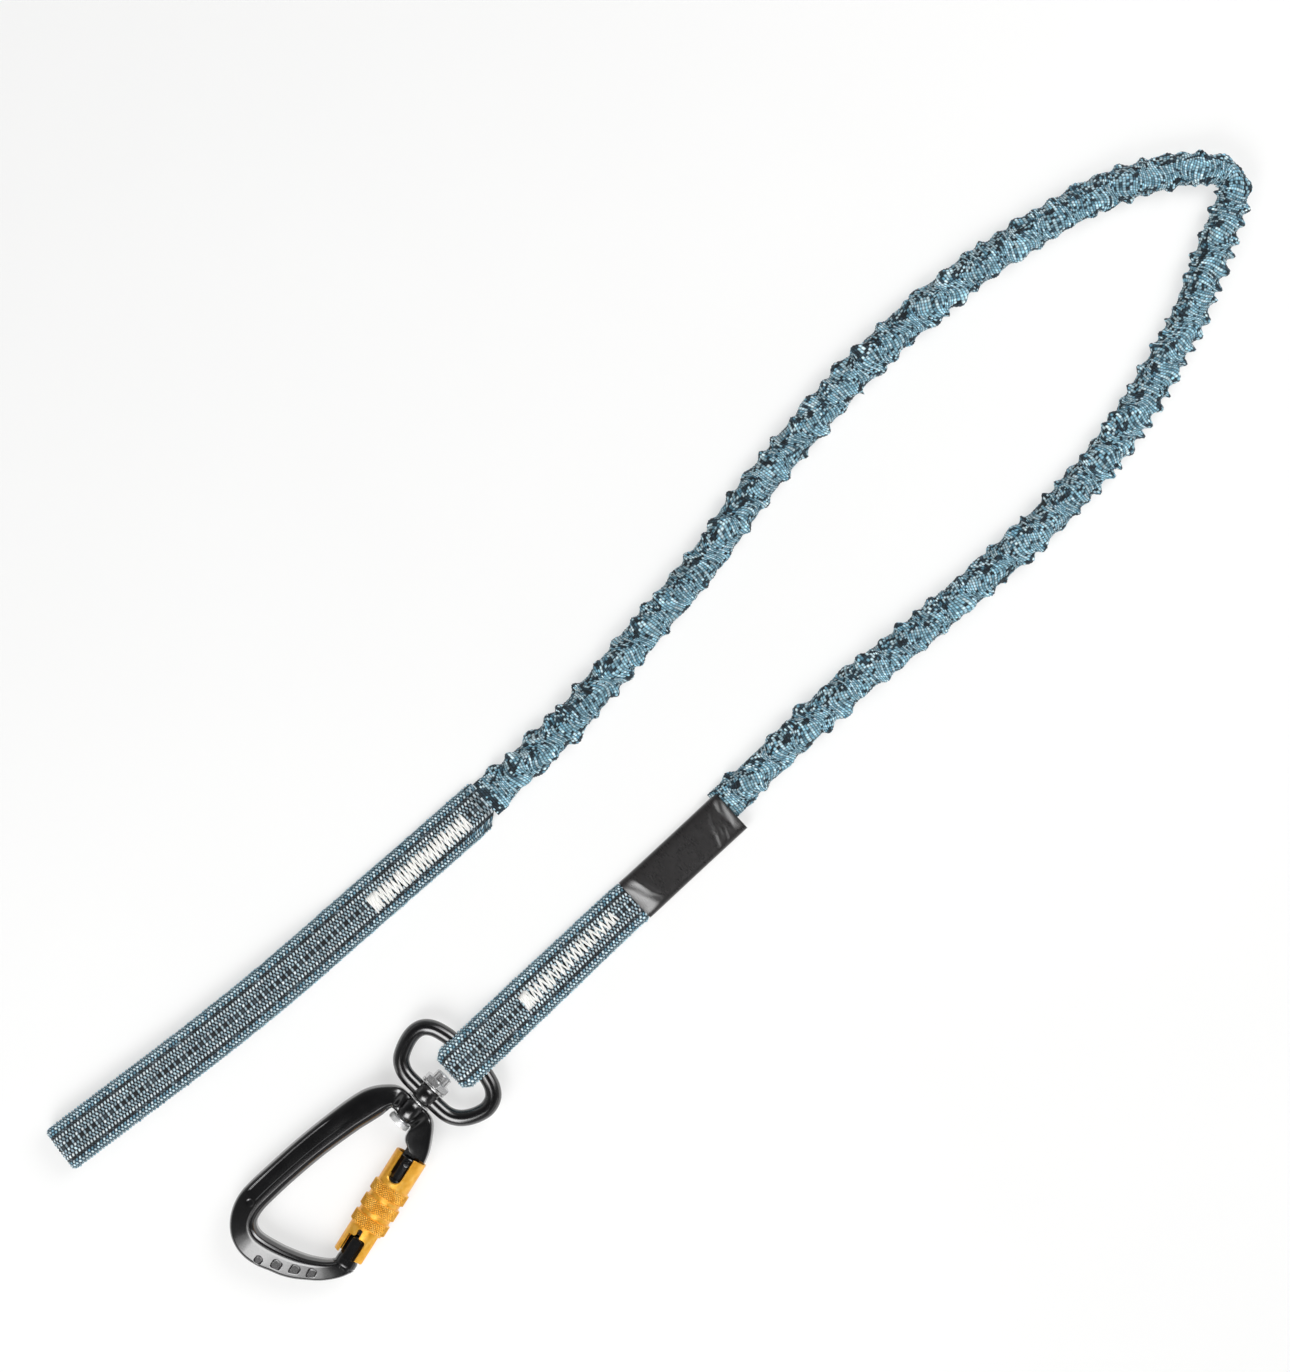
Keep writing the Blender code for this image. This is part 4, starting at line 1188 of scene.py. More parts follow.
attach(end_strap, "swivel_end")
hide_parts("end_loop_webbing")


# ------------------------------------------------------------------- stitching
def stitching(name, node, body, route, run, a, b, teeth, half, z, up, mat, seed, centre=lambda f: 0.0, thick=0.33, dense=0):
    """A zigzag bartack: each stroke of twisted thread dips into the webbing at both ends."""
    rnd = np.random.default_rng(seed)
    d = directions(route)
    strokes = []
    knots = []
    for i in range(2 * teeth + 1):
        f = i / (2 * teeth)
        knots.append((f, 1 if i % 2 else -1))
    for (f0, w0), (f1, w1) in zip(knots, knots[1:]):
        strokes.append((f0, w0, f1, w1, 0.0))
    for q in range(dense):
        f0 = 0.005 + 0.075 * q / max(dense, 1)
        strokes.append((f0, -0.9 if q % 2 else 0.9, f0 + 0.012, 0.9 if q % 2 else -0.9, 0.22))
    sides, m = 12, 24
    all_co, all_faces, all_lay, all_rel = [], [], [], []
    th = 2 * math.pi * np.arange(sides) / sides
    for k, (f0, w0, f1, w1, lift) in enumerate(strokes):
        ends = []
        for f, w in ((f0, w0), (f1, w1)):
            s = a + (b - a) * f + rnd.normal(0, 0.16) * MM
            w = (centre(f) + w * half(f) + rnd.normal(0, 0.16)) * MM
            x, y = (np.interp(s, run, route[:, q]) for q in range(2))
            dx, dy = (np.interp(s, run, d[:, q]) for q in range(2))
            ends.append(np.array([x - dy * w, y + dx * w]))
        f = np.linspace(0, 1, m)
        bow = 1 - (2 * f - 1) ** 4
        xy = ends[0] * (1 - f)[:, None] + ends[1] * f[:, None]
        zz = z + up * (0.22 * MM * bow + lift * MM * bow - 0.42 * MM * (1 - bow) ** 2 + rnd.normal(0, 0.03) * MM)
        line = np.concatenate([xy, zz[:, None]], 1)
        t = directions(line)
        flat = np.cross([0, 0, 1.0], t)
        flat /= np.linalg.norm(flat, axis=1)[:, None]
        top = np.cross(t, flat)
        run_s = run_of(line) / MM
        r = thick * MM * rnd.uniform(0.8, 1.18) * (0.55 + 0.45 * ease(np.minimum(f, 1 - f), 0, 0.12))
        lobe = 1 + 0.10 * np.cos(3 * th[None] - run_s[:, None] * 2.6 + rnd.uniform(0, 6.28))
        rr = r[:, None] * lobe
        co = (
            line[:, None]
            + flat[:, None] * (rr * np.cos(th) * 1.12)[..., None]
            + top[:, None] * (rr * np.sin(th) * 0.85)[..., None]
        )
        off = k * sides * m
        all_co.append(co.reshape(-1, 3))
        all_faces.append(grid(m, sides) + off)
        all_faces.append(cap(np.arange(sides)[::-1] + off))
        all_faces.append(cap((m - 1) * sides + np.arange(sides) + off))
        all_lay.append(
            np.stack(
                [
                    np.broadcast_to(run_s[:, None] + 7 * k, (m, sides)),
                    np.broadcast_to(th[None] * thick, (m, sides)),
                    np.zeros((m, sides)),
                ],
                -1,
            ).reshape(-1, 3)
        )
        # painted shade: low in the ply grooves and at the ends where the stroke dips into the webbing
        all_rel.append(
            (np.broadcast_to((lobe - 0.9) / 0.2, (m, sides)) * 0.6 + 0.4 * bow[:, None]).reshape(-1)
        )
    obj = make(
        name,
        np.vstack(all_co),
        all_faces,
        mat,
        point={"lay": np.vstack(all_lay), "painted_relief_shading": np.concatenate(all_rel)},
    )
    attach(obj, body)
    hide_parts(node)
    return obj


choke_top = float(choke_high(STITCH_B)) + WEB_THICK / 2
stitching(
    "choke_bartack", "choke_stitch_thread", "choke_end", choke_route, choke_run, STITCH_A, STITCH_B,
    26, lambda f: 2.95 - 0.25 * f, choke_top + 0.12 * MM, 1, THREAD, 3,
    centre=lambda f: -0.9 + 0.3 * f, thick=0.30, dense=8,
)
stitching(
    "choke_bobbin_bartack", "choke_bobbin_thread", "choke_end", choke_route, choke_run, STITCH_A, STITCH_B,
    26, lambda f: 2.7, LIFT - 0.06 * MM, -1, THREAD, 13, thick=0.26,
)
end_top = float(end_high_z(END_B)) + WEB_THICK / 2
stitching(
    "end_bartack", "end_stitch_thread", "swivel_end", end_route, end_run, END_A, END_B,
    20, lambda f: 2.75 - 0.7 * f, end_top + 0.12 * MM, 1, THREAD, 4,
    centre=lambda f: 0.1 + 0.6 * f, thick=0.285, dense=8,
)
stitching(
    "end_bobbin_bartack", "end_bobbin_thread", "swivel_end", end_route, end_run, END_A, END_B,
    20, lambda f: 2.4, FLAT - WEB_THICK / 2 - 0.08 * MM, -1, THREAD, 14, thick=0.26,
)
stitching(
    "label_bartack", "hidden_bartack_thread", "swivel_end", end_route, end_run, LABEL_A + 8 * MM, LABEL_A + 18 * MM,
    6, lambda f: 3.4, end_top + 0.0 * MM, 1, DARK_THREAD, 24, thick=0.2,
)


# ----------------------------------------------------------------- the label
def label_piece():
    rnd = np.random.default_rng(77)
    n, m = 140, 120
    s = np.linspace(LABEL_A, LABEL_B, n)
    f = np.linspace(0, 1, n)
    x, y = (np.interp(s, end_run, end_route[:, k]) for k in range(2))
    dd = directions(end_route)
    dx, dy = (np.interp(s, end_run, dd[:, k]) for k in range(2))
    side = np.stack([-dy, dx, 0 * s], 1)
    a = 2 * math.pi * np.arange(m) / m
    # a flattened tube, nearly square at its edges
    c, sn = np.cos(a), np.sin(a)
    w = np.sign(c) * np.abs(c) ** 0.42
    h = np.sign(sn) * np.abs(sn) ** 0.5
    half = 6.95 * MM - 0.06 * MM * np.sin(math.pi * f)
    d0, d1 = f * (LABEL_B - LABEL_A), (1 - f) * (LABEL_B - LABEL_A)
    top = (4.50 + 1.25 * ease(d0, -1 * MM, 5.6 * MM) - 0.30 * ease(d0, 6 * MM, 16 * MM) - 0.45 * (1 - ease(d1, 0, 3.4 * MM))) * MM
    low = 0.03 * MM
    midz, tall = (top + low) / 2, (top - low) / 2
    W = half[:, None] * w[None]
    Z = midz[:, None] + tall[:, None] * h[None]
    # slack between the ends, and folds that run in from them
    upper = np.clip(h, 0, 1)[None]
    u = W / half[:, None]
    sag = -0.08 * MM * np.sin(math.pi * f)[:, None] * (1 - u**2)
    fold = 0
    for k in range(8):
        base = (f if k < 3 else 1 - f)[:, None]
        at = rnd.uniform(0.05, 0.16) if k < 3 else 0.045 + 0.034 * (k - 3) + rnd.uniform(-0.006, 0.006)
        slope, wide_ = rnd.uniform(0.05, 0.10), rnd.uniform(0.015, 0.024)
        tall_ = rnd.uniform(0.14, 0.24) * MM * (0.6 if k < 3 else 1)
        where = np.exp(-(((u - rnd.uniform(-0.25, 0.3)) / rnd.uniform(0.5, 0.8)) ** 2))
        fold = fold + tall_ * where * np.exp(-(((base - at + slope * u) / wide_) ** 2))
    Z = Z + upper * (sag + fold)
    outer = np.stack([x[:, None] + side[:, :1] * W, y[:, None] + side[:, 1:2] * W, Z], -1)
    wall = 0.42 * MM
    picks = np.unique(np.r_[np.arange(0, n, 6), n - 1])
    Wi = W[picks] * (half[picks, None] - wall) / half[picks, None]
    Zi = midz[picks, None] + (Z[picks] - midz[picks, None]) * (tall[picks, None] - wall) / tall[picks, None]
    inner = np.stack([x[picks, None] + side[picks, :1] * Wi, y[picks, None] + side[picks, 1:2] * Wi, Zi], -1)
    co, faces = walled(outer, inner)
    girth = np.cumsum(np.r_[0, np.hypot(np.diff(W[n // 2]), np.diff(Z[n // 2]))]) / MM
    lay = np.stack(
        [np.broadcast_to((s / MM)[:, None], (n, m)), np.broadcast_to(girth[None], (n, m)), np.zeros((n, m))], -1
    ).reshape(-1, 3)
    lay = np.vstack([lay, np.zeros((len(picks) * m, 3))])
    obj = make("label_ribbon", co, faces, LABEL, point={"lay": lay}, sharp=60)
    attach(obj, "swivel_end")
    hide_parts("label_sleeve")
    return obj


label_piece()

# ----------------------------------------------------------------- swivel eye
EYE = [
    (3.1, 0.0),
    (3.1, 4.0),
    (3.15, 7.5),
    (3.8, 10.2),
    (5.7, 12.8),
    (9.6, 14.7),
    (13.4, 15.4),
    (16.4, 14.6),
    (18.4, 12.3),
    (19.5, 9.0),
    (20.0, 5.6),
    (20.0, 0.0),
    (20.0, -5.6),
    (19.5, -9.0),
    (18.4, -12.3),
    (16.3, -14.7),
    (13.2, -15.6),
    (10.2, -15.0),
    (7.2, -13.5),
    (4.9, -11.4),
    (3.5, -8.6),
    (3.1, -4.6),
]
ring_ = np.array(EYE)
closed = np.vstack([ring_[-3:], ring_, ring_[:3]])
dense = through(closed, 0.06)
run = run_of(dense)
# one full turn of the smooth closed curve
first = run[np.argmin(np.linalg.norm(dense[: len(dense) // 3] - ring_[0], axis=1))]
tail = len(dense) // 2
last = run[tail + np.argmin(np.linalg.norm(dense[tail:] - ring_[0], axis=1))]
at = np.linspace(first, last, 261)[:-1]
line = np.stack([np.interp(at, run, dense[:, k]) for k in range(2)], 1)
d = np.roll(line, -1, 0) - np.roll(line, 1, 0)
d /= np.linalg.norm(d, axis=1)[:, None]
n = 40
th = 2 * math.pi * np.arange(n) / n
nx, ny = -d[:, 1], d[:, 0]
# the forging is a touch flat on its sides
rw, rh = EYE_R - 0.06, EYE_R
co = at_swivel(
    line[:, :1] + nx[:, None] * rw * np.cos(th),
    line[:, 1:] + ny[:, None] * rw * np.cos(th),
    rh * np.sin(th) + 0 * line[:, :1],
)
eye = make("eye_forging", co, [grid(len(line), n, wrap_n=True)], BLACK)


def barrel(t0, t1, r, drop):
    """A swelling boss between two ends."""
    x = np.linspace(-1, 1, 25)
    body = np.stack([(t0 + t1) / 2 + (t1 - t0) / 2 * x, r - drop * np.abs(x) ** 2.6], 1)
    return np.vstack([[t0, 0.4], body, [t1, 0.4]])


boss = barrel(0.62, 5.78, 3.95, 1.0)
boolean(eye, *revolve(at_swivel, boss, 72), "UNION")
boolean(eye, *revolve(at_swivel, [(-2, BOLT_R + 0.3), (9, BOLT_R + 0.3)], 48), "DIFFERENCE")
tidy(eye, 38)
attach(eye, "eye")
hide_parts("swivel_eye")


# ------------------------------------------------------------ swivel fittings
def fitting(name, node, co, faces, mat, body, slot, sharp=35):
    obj = make(name, co, faces, mat, sharp=sharp)
    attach(obj, body)
    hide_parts(node)
    return obj


bolt = make(
    "swivel_rivet",
    *revolve(
        at_swivel,
        rounded(
            [
                (-8.85, 0.3),
                (-8.85, 3.5),
                (-7.2, 3.5),
                (-7.2, 2.3),
                (-7.0, BOLT_R),
                (10.4, BOLT_R),
                (11.25, 1.55),
                (11.35, 0.3),
            ],
            [0, 0.45, 0.12, 0.1, 0.1, 0.2, 0.25, 0],
            5,
        ),
        64,
    ),
    BOLT,
)
socket_ = [
    [(t, 1.55 * k * math.cos(q * math.pi / 3), 1.55 * k * math.sin(q * math.pi / 3)) for q in range(6)]
    for t, k in ((-9.5, 1.25), (-8.85, 1.12), (-8.6, 1.0), (-7.9, 1.0))
]
sc = np.array(socket_)
boolean(
    bolt,
    at_swivel(sc[..., 0], sc[..., 1], sc[..., 2]).reshape(-1, 3),
    [grid(4, 6), cap(np.arange(6)[::-1]), cap(18 + np.arange(6))],
    "DIFFERENCE",
)
tidy(bolt, 35)
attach(bolt, "carabiner")
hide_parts("swivel_bolt")


def washer(name, node, t0, t1, r, body="carabiner"):
    bore, c = BOLT_R + 0.12, 0.07
    loop = rounded(
        [(t0, bore), (t0, r), (t1, r), (t1, bore)], [c, c, c, c], 3, closed=True
    )
    co, faces = revolve(at_swivel, loop, 72, closed=True)
    return fitting(name, node, co, faces, STEEL, body, "steel")


washer("head_washer", "bolt_head_washer", -7.05, -6.75, 3.34)
washer("bearing_washer", "thrust_washer", 0.07, 0.45, 3.9)
washer("flat_washer", "nut_washer", 5.95, 6.72, 4.22)


def nut():
    """Hexagon nut with a plain round collar round the bolt's end."""
    n = 144
    a = 2 * math.pi * np.arange(n) / n
    lean_ = math.radians(9)
    hexa = math.cos(math.pi / 6) / np.cos((a - lean_ + math.pi / 6) % (math.pi / 3) - math.pi / 6)
    bore = BOLT_R + 0.1
    corner = 4.45 * hexa
    loop = [
        (6.88, np.minimum(corner, 4.0)),
        (7.02, np.minimum(corner, 4.28)),
        (7.12, corner),
        (8.42, corner),
        (8.52, np.minimum(corner, 4.25)),
        (8.60, np.minimum(corner, 3.95)),
    ]
    for t, r in rounded([(8.6, 3.0), (8.62, 2.72), (11.05, 2.72), (11.1, 2.3)], [0, 0.08, 0.42, 0], 6):
        loop.append((t, r + 0 * a))
    loop += [(11.1, bore + 0.12 + 0 * a), (11.0, bore + 0 * a), (6.92, bore + 0 * a), (6.88, bore + 0.1 + 0 * a)]
    t = np.array([v[0] for v in loop])[:, None]
    rr = np.array([v[1] for v in loop])
    co = at_swivel(t + 0 * a, rr * np.cos(a), rr * np.sin(a)).reshape(-1, 3)
    return fitting("hex_nut", "swivel_nut", co, [grid(len(loop), n, wrap_n=True)], STEEL, "carabiner", "steel", 25)


nut()

# ------------------------------------------------------------- carabiner body
BODY_H = 4.3
BODY = [
    ((-48.7, -21.7), (-50.4, -14.6), 3.3),
    ((-51.9, -20.5), (-51.3, -13.7), 3.7),
    ((-54.7, -18.8), (-52.2, -12.6), 4.0),
    ((-57.4, -16.6), (-53.3, -11.0), 4.2),
    ((-60.1, -13.6), (-54.5, -9.1), BODY_H),
    ((-62.6, -10.5), (-55.6, -6.9), BODY_H),
    ((-64.5, -7.3), (-56.6, -4.6), BODY_H),
    ((-65.9, -3.9), (-57.6, -2.1), BODY_H),
    ((-67.3, -0.6), (-58.4, 0.5), BODY_H),
    ((-68.1, 2.7), (-59.1, 3.1), BODY_H),
    ((-68.2, 5.9), (-59.5, 5.4), BODY_H),
    ((-67.5, 9.1), (-59.3, 7.0), BODY_H),
    ((-66.0, 12.0), (-58.7, 8.2), BODY_H),
    ((-63.6, 14.6), (-57.7, 9.0), BODY_H),
    ((-60.4, 16.7), (-56.2, 9.5), BODY_H),
    ((-56.4, 18.1), (-54.4, 9.8), BODY_H),
    ((-52.0, 18.5), (-51.6, 9.9), BODY_H),
    ((-43.2, 18.2), (-42.6, 9.6), BODY_H),
    ((-31.5, 17.5), (-30.6, 8.6), BODY_H),
    ((-19.7, 16.2), (-18.8, 6.8), BODY_H),
    ((-13.2, 15.2), (-13.4, 5.6), BODY_H),
    ((-8.5, 14.0), (-10.2, 4.9), BODY_H),
    ((-5.2, 12.2), (-8.2, 4.7), BODY_H),
    ((-2.6, 10.0), (-7.2, 4.6), 4.2),
    ((-0.9, 8.1), (-6.7, 4.5), 4.1),
    ((-0.15, 6.0), (-6.5, 4.3), 3.9),
    ((-0.1, 4.2), (-6.5, 3.8), 2.5),
    ((-0.1, 2.4), (-6.4, 2.3), 2.3),
    ((-0.1, 0.0), (-6.4, 0.0), 2.3),
    ((-0.1, -2.3), (-6.4, -2.0), 2.3),
    ((-0.1, -4.0), (-6.5, -3.5), 2.5),
    ((-0.2, -5.5), (-7.3, -3.75), 3.9),
    ((-0.7, -7.0), (-8.8, -3.85), 4.0),
    ((-2.2, -8.7), (-10.0, -4.5), 4.0),
    ((-4.8, -10.7), (-10.7, -5.2), 4.0),
    ((-8.0, -12.8), (-11.2, -6.4), 4.0),
    ((-11.2, -14.1), (-11.75, -7.7), 3.95),
]


def body_piece():
    st = np.array([(*o, *i, h) for o, i, h in BODY])
    # walk smoothly from station to station, closer together round the bow
    smooth = through(st, 1e-3)  # dense, in no particular measure
    mid = (smooth[:, :2] + smooth[:, 2:4]) / 2
    outer_run = run_of(smooth[:, :2])
    weight = np.gradient(outer_run + run_of(mid)) * np.where(
        (mid[:, 0] < -50) & (mid[:, 1] < 11), 2.6, np.where(mid[:, 0] < -46, 1.6, 1.0)
    )
    go = np.cumsum(weight)
    go -= go[0]
    n = 492
    at = np.linspace(0, go[-1], n)
    sm = np.stack([np.interp(at, go, smooth[:, k]) for k in range(5)], 1)
    # relax the kinks of the polyline
    for _ in range(6):
        sm[1:-1] = 0.5 * sm[1:-1] + 0.25 * (sm[:-2] + sm[2:])
    o, i, hh = sm[:, :2], sm[:, 2:4], sm[:, 4]
    width = np.linalg.norm(o - i, axis=1)
    # section corners in (share of width, share of half thickness), upper half then lower
    upper = [(0.0, 0.46), (0.105, 0.88), (0.215, 1.0), (0.335, 1.0), (0.60, 0.87), (0.80, 0.70), (0.94, 0.48), (1.0, 0.24)]
    slope = {0.60: 0.815, 0.80: 0.675, 0.94: 0.575, 1.0: 0.30}  # on the bow: one flat slope
    cuts = [0.55, 0.45, 0.35, 0.55, 1.2, 1.0, 0.55, 0.6]
    extra = [2, 2, 2, 12, 10, 8, 2, 3]  # points along the edge after each corner
    corners = upper + [(u, -v) for u, v in upper[::-1]]
    cut = cuts + cuts[::-1]
    more = extra[:-1] + [3] + extra[:-1][::-1] + [3]
    arm = ease(np.arange(n) / n, 0.885, 0.925)
    level_ = 1 - ease(-(o[:, 0] + i[:, 0]) / 2, 42, 58) * (1 - arm)
    level_ = level_ * (1 - 0.7 * (1 - ease(np.arange(n) / n, 0.2, 0.3)))
    P = []
    for u, v in corners:
        high = abs(v) + (1 - abs(v)) * (0.42 * level_ + 0.25 * arm) * (0.3 < u < 0.96)
        high = high + (slope.get(u, abs(v)) - abs(v)) * (1 - level_)
        P.append(np.stack([u * width * (1 - 0.62 * arm * (u < 0.3)), math.copysign(1, v) * high * hh], 1))
    P = np.stack(P, 1)  # stations x corners x 2
    m = len(corners)
    pts = []
    for k in range(m):
        p, q, r = P[:, k], P[:, k - 1], P[:, (k + 1) % m]
        la = np.linalg.norm(q - p, axis=1)
        lb = np.linalg.norm(r - p, axis=1)
        ca = np.minimum(cut[k], 0.42 * np.minimum(la, lb))
        s, e = p + (q - p) * (ca / la)[:, None], p + (r - p) * (ca / lb)[:, None]
        for f in np.linspace(0, 1, 7):
            pts.append((1 - f) ** 2 * s + 2 * f * (1 - f) * p + f * f * e)
        nk = (k + 1) % m
        p2, q2, r2 = P[:, nk], P[:, k], P[:, (nk + 1) % m]
        c2 = np.minimum(cut[nk], 0.42 * np.minimum(np.linalg.norm(q2 - p2, axis=1), np.linalg.norm(r2 - p2, axis=1)))
        s2 = p2 + (q2 - p2) * (c2 / np.linalg.norm(q2 - p2, axis=1))[:, None]
        for f in np.linspace(0, 1, more[k] + 2)[1:-1]:
            pts.append(e * (1 - f) + s2 * f)
    pts = np.stack(pts, 1)  # stations x points x (across, up)
    u = pts[..., 0] / width[:, None]
    xy = i[:, None] + (o - i)[:, None] * u[..., None]
    z = pts[..., 1].copy()
    sign = np.sign(z)
    # grip scallops in the slope of the bow: level floors that open outwards
    rot = lambda px, py: ((px - SWIVEL_PLAN[0]) * 0.294, (py - SWIVEL_PLAN[1]) * 0.294)
    for px, py, wide_, reach in (
        (-706.4, -1073.2, 1.20, 1.20),
        (-697.0, -1089.4, 1.50, 1.60),
        (-687.8, -1105.8, 1.40, 1.75),
        (-678.4, -1120.4, 1.25, 1.75),
    ):
        cx, cy = rot(px, py)
        near_ = np.argmin(np.hypot(((o + i) / 2)[:, 0] - cx, ((o + i) / 2)[:, 1] - cy))
        out = 0.4 * (o[near_] - i[near_]) / width[near_] + np.array([-0.6, 0.0])
        out = out / np.hypot(*out)
        along_ = np.array([-out[1], out[0]])
        dx, dy = xy[..., 0] - cx, xy[..., 1] - cy
        p = dx * out[0] + dy * out[1]  # outwards
        q = dx * along_[0] + dy * along_[1]
        # a pocket with rounded corners
        corner = 1.0
        away = np.hypot(np.maximum(np.abs(p) - reach + corner, 0), np.maximum(np.abs(q) - wide_ + corner, 0)) - corner
        inside_ = 1 - ease(away, -0.24, 0.08)
        slope_ = np.abs(z)[(np.abs(p) < 0.3) & (np.abs(q) < 0.3)]
        level = (slope_.mean() if len(slope_) else 3.4) - 0.46
        depth = np.maximum(np.abs(z) - (level - 0.01 * p), 0)
        z = z - sign * np.minimum(depth, 1.0) * inside_
    # a shallow panel in the spine
    x_, y_ = xy[..., 0], xy[..., 1]
    px0, _ = rot(-667, 0)
    px1, _ = rot(-536, 0)
    along_spine = (x_ - px0) / (px1 - px0)
    hollow_ = ease(u, 0.40, 0.45) * (1 - ease(u, 0.80, 0.85))
    taper_ = ease(along_spine, 0.0, 0.035) * (1 - ease(along_spine, 0.80 - 0.10 * u, 1.0 - 0.06 * u))
    spine = (y_ > 5) * hollow_ * taper_
    z = z - sign * 0.30 * spine
    # a round dimple where the spine turns into the bow
    cx, cy = rot(-671, -1027)
    z = z - sign * 0.17 * (1 - ease(np.hypot(x_ - cx, y_ - cy), 0.75, 1.35))
    co = at_swivel(x_, y_, z)
    m2 = pts.shape[1]
    faces = [grid(n, m2), cap(np.arange(m2)[::-1]), cap((n - 1) * m2 + np.arange(m2))]
    body = make("carabiner_forging", co.reshape(-1, 3), faces, BLACK)
    # barrel round the swivel
    boolean(body, *revolve(at_swivel, barrel(-6.45, -0.12, 3.85, 1.0), 72), "UNION")
    # nose block
    block = []
    around = 2 * math.pi * np.arange(64) / 64
    ca, sa = np.cos(around), np.sin(around)
    for t, wide_, tall_ in (
        (-4.0, 3.45, 3.1),
        (-3.2, 3.45, 3.1),
        (-3.1, 3.44, 3.05),
        (-2.65, 3.38, 2.82),
        (-2.5, 3.37, 2.78),
        (-1.2, 3.34, 2.74),
        (-0.7, 3.22, 2.68),
        (-0.15, 2.94, 2.5),
        (5.2, 2.9, 2.5),
        (5.9, 2.75, 2.4),
        (6.35, 2.45, 2.15),
        (6.5, 2.05, 1.8),
    ):
        w_ = wide_ * np.sign(ca) * np.abs(ca) ** 0.86
        h_ = tall_ * np.sign(sa) * np.abs(sa) ** 0.86
        shift = 0.2 - 0.45 * float(ease(t, -3.12, -2.6)) + 0.25 * float(ease(t, -1.2, 0.0))
        block.append(at_gate(t, w_ + shift, h_))
    block = np.array(block)
    bn, bmn = block.shape[:2]
    boolean(
        body,
        block.reshape(-1, 3),
        [grid(bn, bmn), cap(np.arange(bmn)[::-1]), cap((bn - 1) * bmn + np.arange(bmn))],
        "UNION",
    )
    # tang between the gate's ears
    cam = [(4.6, -2.6), (4.6, 2.6)]
    for a_ in np.linspace(90, 270, 41):
        lobe = 2.6 + 0.5 * float(ease(a_, 135, 156)) * (1 - float(ease(a_, 160, 178)))
        cam.append((lobe * math.cos(math.radians(a_)), lobe * math.sin(math.radians(a_))))
    cam = np.array(cam)
    tang = np.array([at_gate(PIN_T + cam[:, 0], cam[:, 1], h) for h in (-1.4, 1.4)])
    boolean(
        body,
        tang.reshape(-1, 3),
        [grid(2, len(cam)), cap(np.arange(len(cam))[::-1]), cap(len(cam) + np.arange(len(cam)))],
        "UNION",
    )
    boolean(body, *upright(PIN_T, 1.06, -3, 3, 32), "DIFFERENCE")
    boolean(body, *revolve(at_swivel, [(-9.5, BOLT_R + 0.15), (2, BOLT_R + 0.15)], 48), "DIFFERENCE")
    tidy(body, 42)
    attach(body, "carabiner")
    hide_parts("carabiner_body")
    return body


def upright(t, r, low, high, n):
    """A round bar along Z through the gate's axis."""
    a_ = 2 * math.pi * np.arange(n) / n
    co = np.array([at_gate(t + r * np.cos(a_), r * np.sin(a_), h) for h in (low, high)])
    return co.reshape(-1, 3), [grid(2, n), cap(np.arange(n)[::-1]), cap(n + np.arange(n))]


body_piece()


# ------------------------------------------------------- gate, pins and springs
def gate_piece():
    profile = rounded(
        [(0.9, 0.3), (0.9, 4.15), (19.0, 4.15), (19.0, 3.2), (34.1, 3.2), (34.1, 0.3)],
        [0, 0.5, 0.3, 0.15, 0.7, 0],
        5,
    )
    gate = make("gate_bar", *revolve(at_gate, profile, 72), BLACK)

    def box(lo, hi):
        (a, b, c), (d_, e_, f_) = lo, hi
        co = np.array(
            [[at_gate(t, b, c), at_gate(t, e_, c), at_gate(t, e_, f_), at_gate(t, b, f_)] for t in (a, d_)]
        )
        return co.reshape(-1, 3), [grid(2, 4), cap([3, 2, 1, 0]), cap([4, 5, 6, 7])]

    boolean(gate, *box((-1, -6, -6), (7.4, 3.2, 6)), "DIFFERENCE")
    boolean(gate, *box((28.5, -6, -1.7), (40, 6, 1.7)), "DIFFERENCE")
    boolean(gate, *revolve(at_gate, [(19.8, 1.3), (29, 1.3)], 32), "DIFFERENCE")
    boolean(gate, *upright(PIN_T, 1.12, -5, 5, 32), "DIFFERENCE")
    boolean(gate, *upright(15.4, 0.62, -5, -2.8, 24), "DIFFERENCE")
    tidy(gate, 35)
    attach(gate, "gate")
    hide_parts("gate")


gate_piece()


def pin(name, node, t, r, low, high, body, mat, slot):
    """A turned pin with rounded ends, along Z."""
    c = 0.22 * r
    profile = rounded([(low, 0.05), (low, r), (high, r), (high, 0.05)], [0, c, c, 0], 4)
    a_ = 2 * math.pi * np.arange(40) / 40
    co = np.array([at_gate(t + q * np.cos(a_), q * np.sin(a_), h) for h, q in profile])
    n_ = len(profile)
    faces = [grid(n_, 40), cap(np.arange(40)[::-1]), cap((n_ - 1) * 40 + np.arange(40))]
    return fitting(name, node, co.reshape(-1, 3), faces, mat, body, slot)


pin("hinge_rivet", "gate_hinge_pin", PIN_T, 1.0, -3.0, 3.0, "carabiner", BLACK, "black")
pin("guide_dowel", "sleeve_guide_pin", 15.4, 0.5, -4.65, -2.95, "gate", STEEL, "steel")


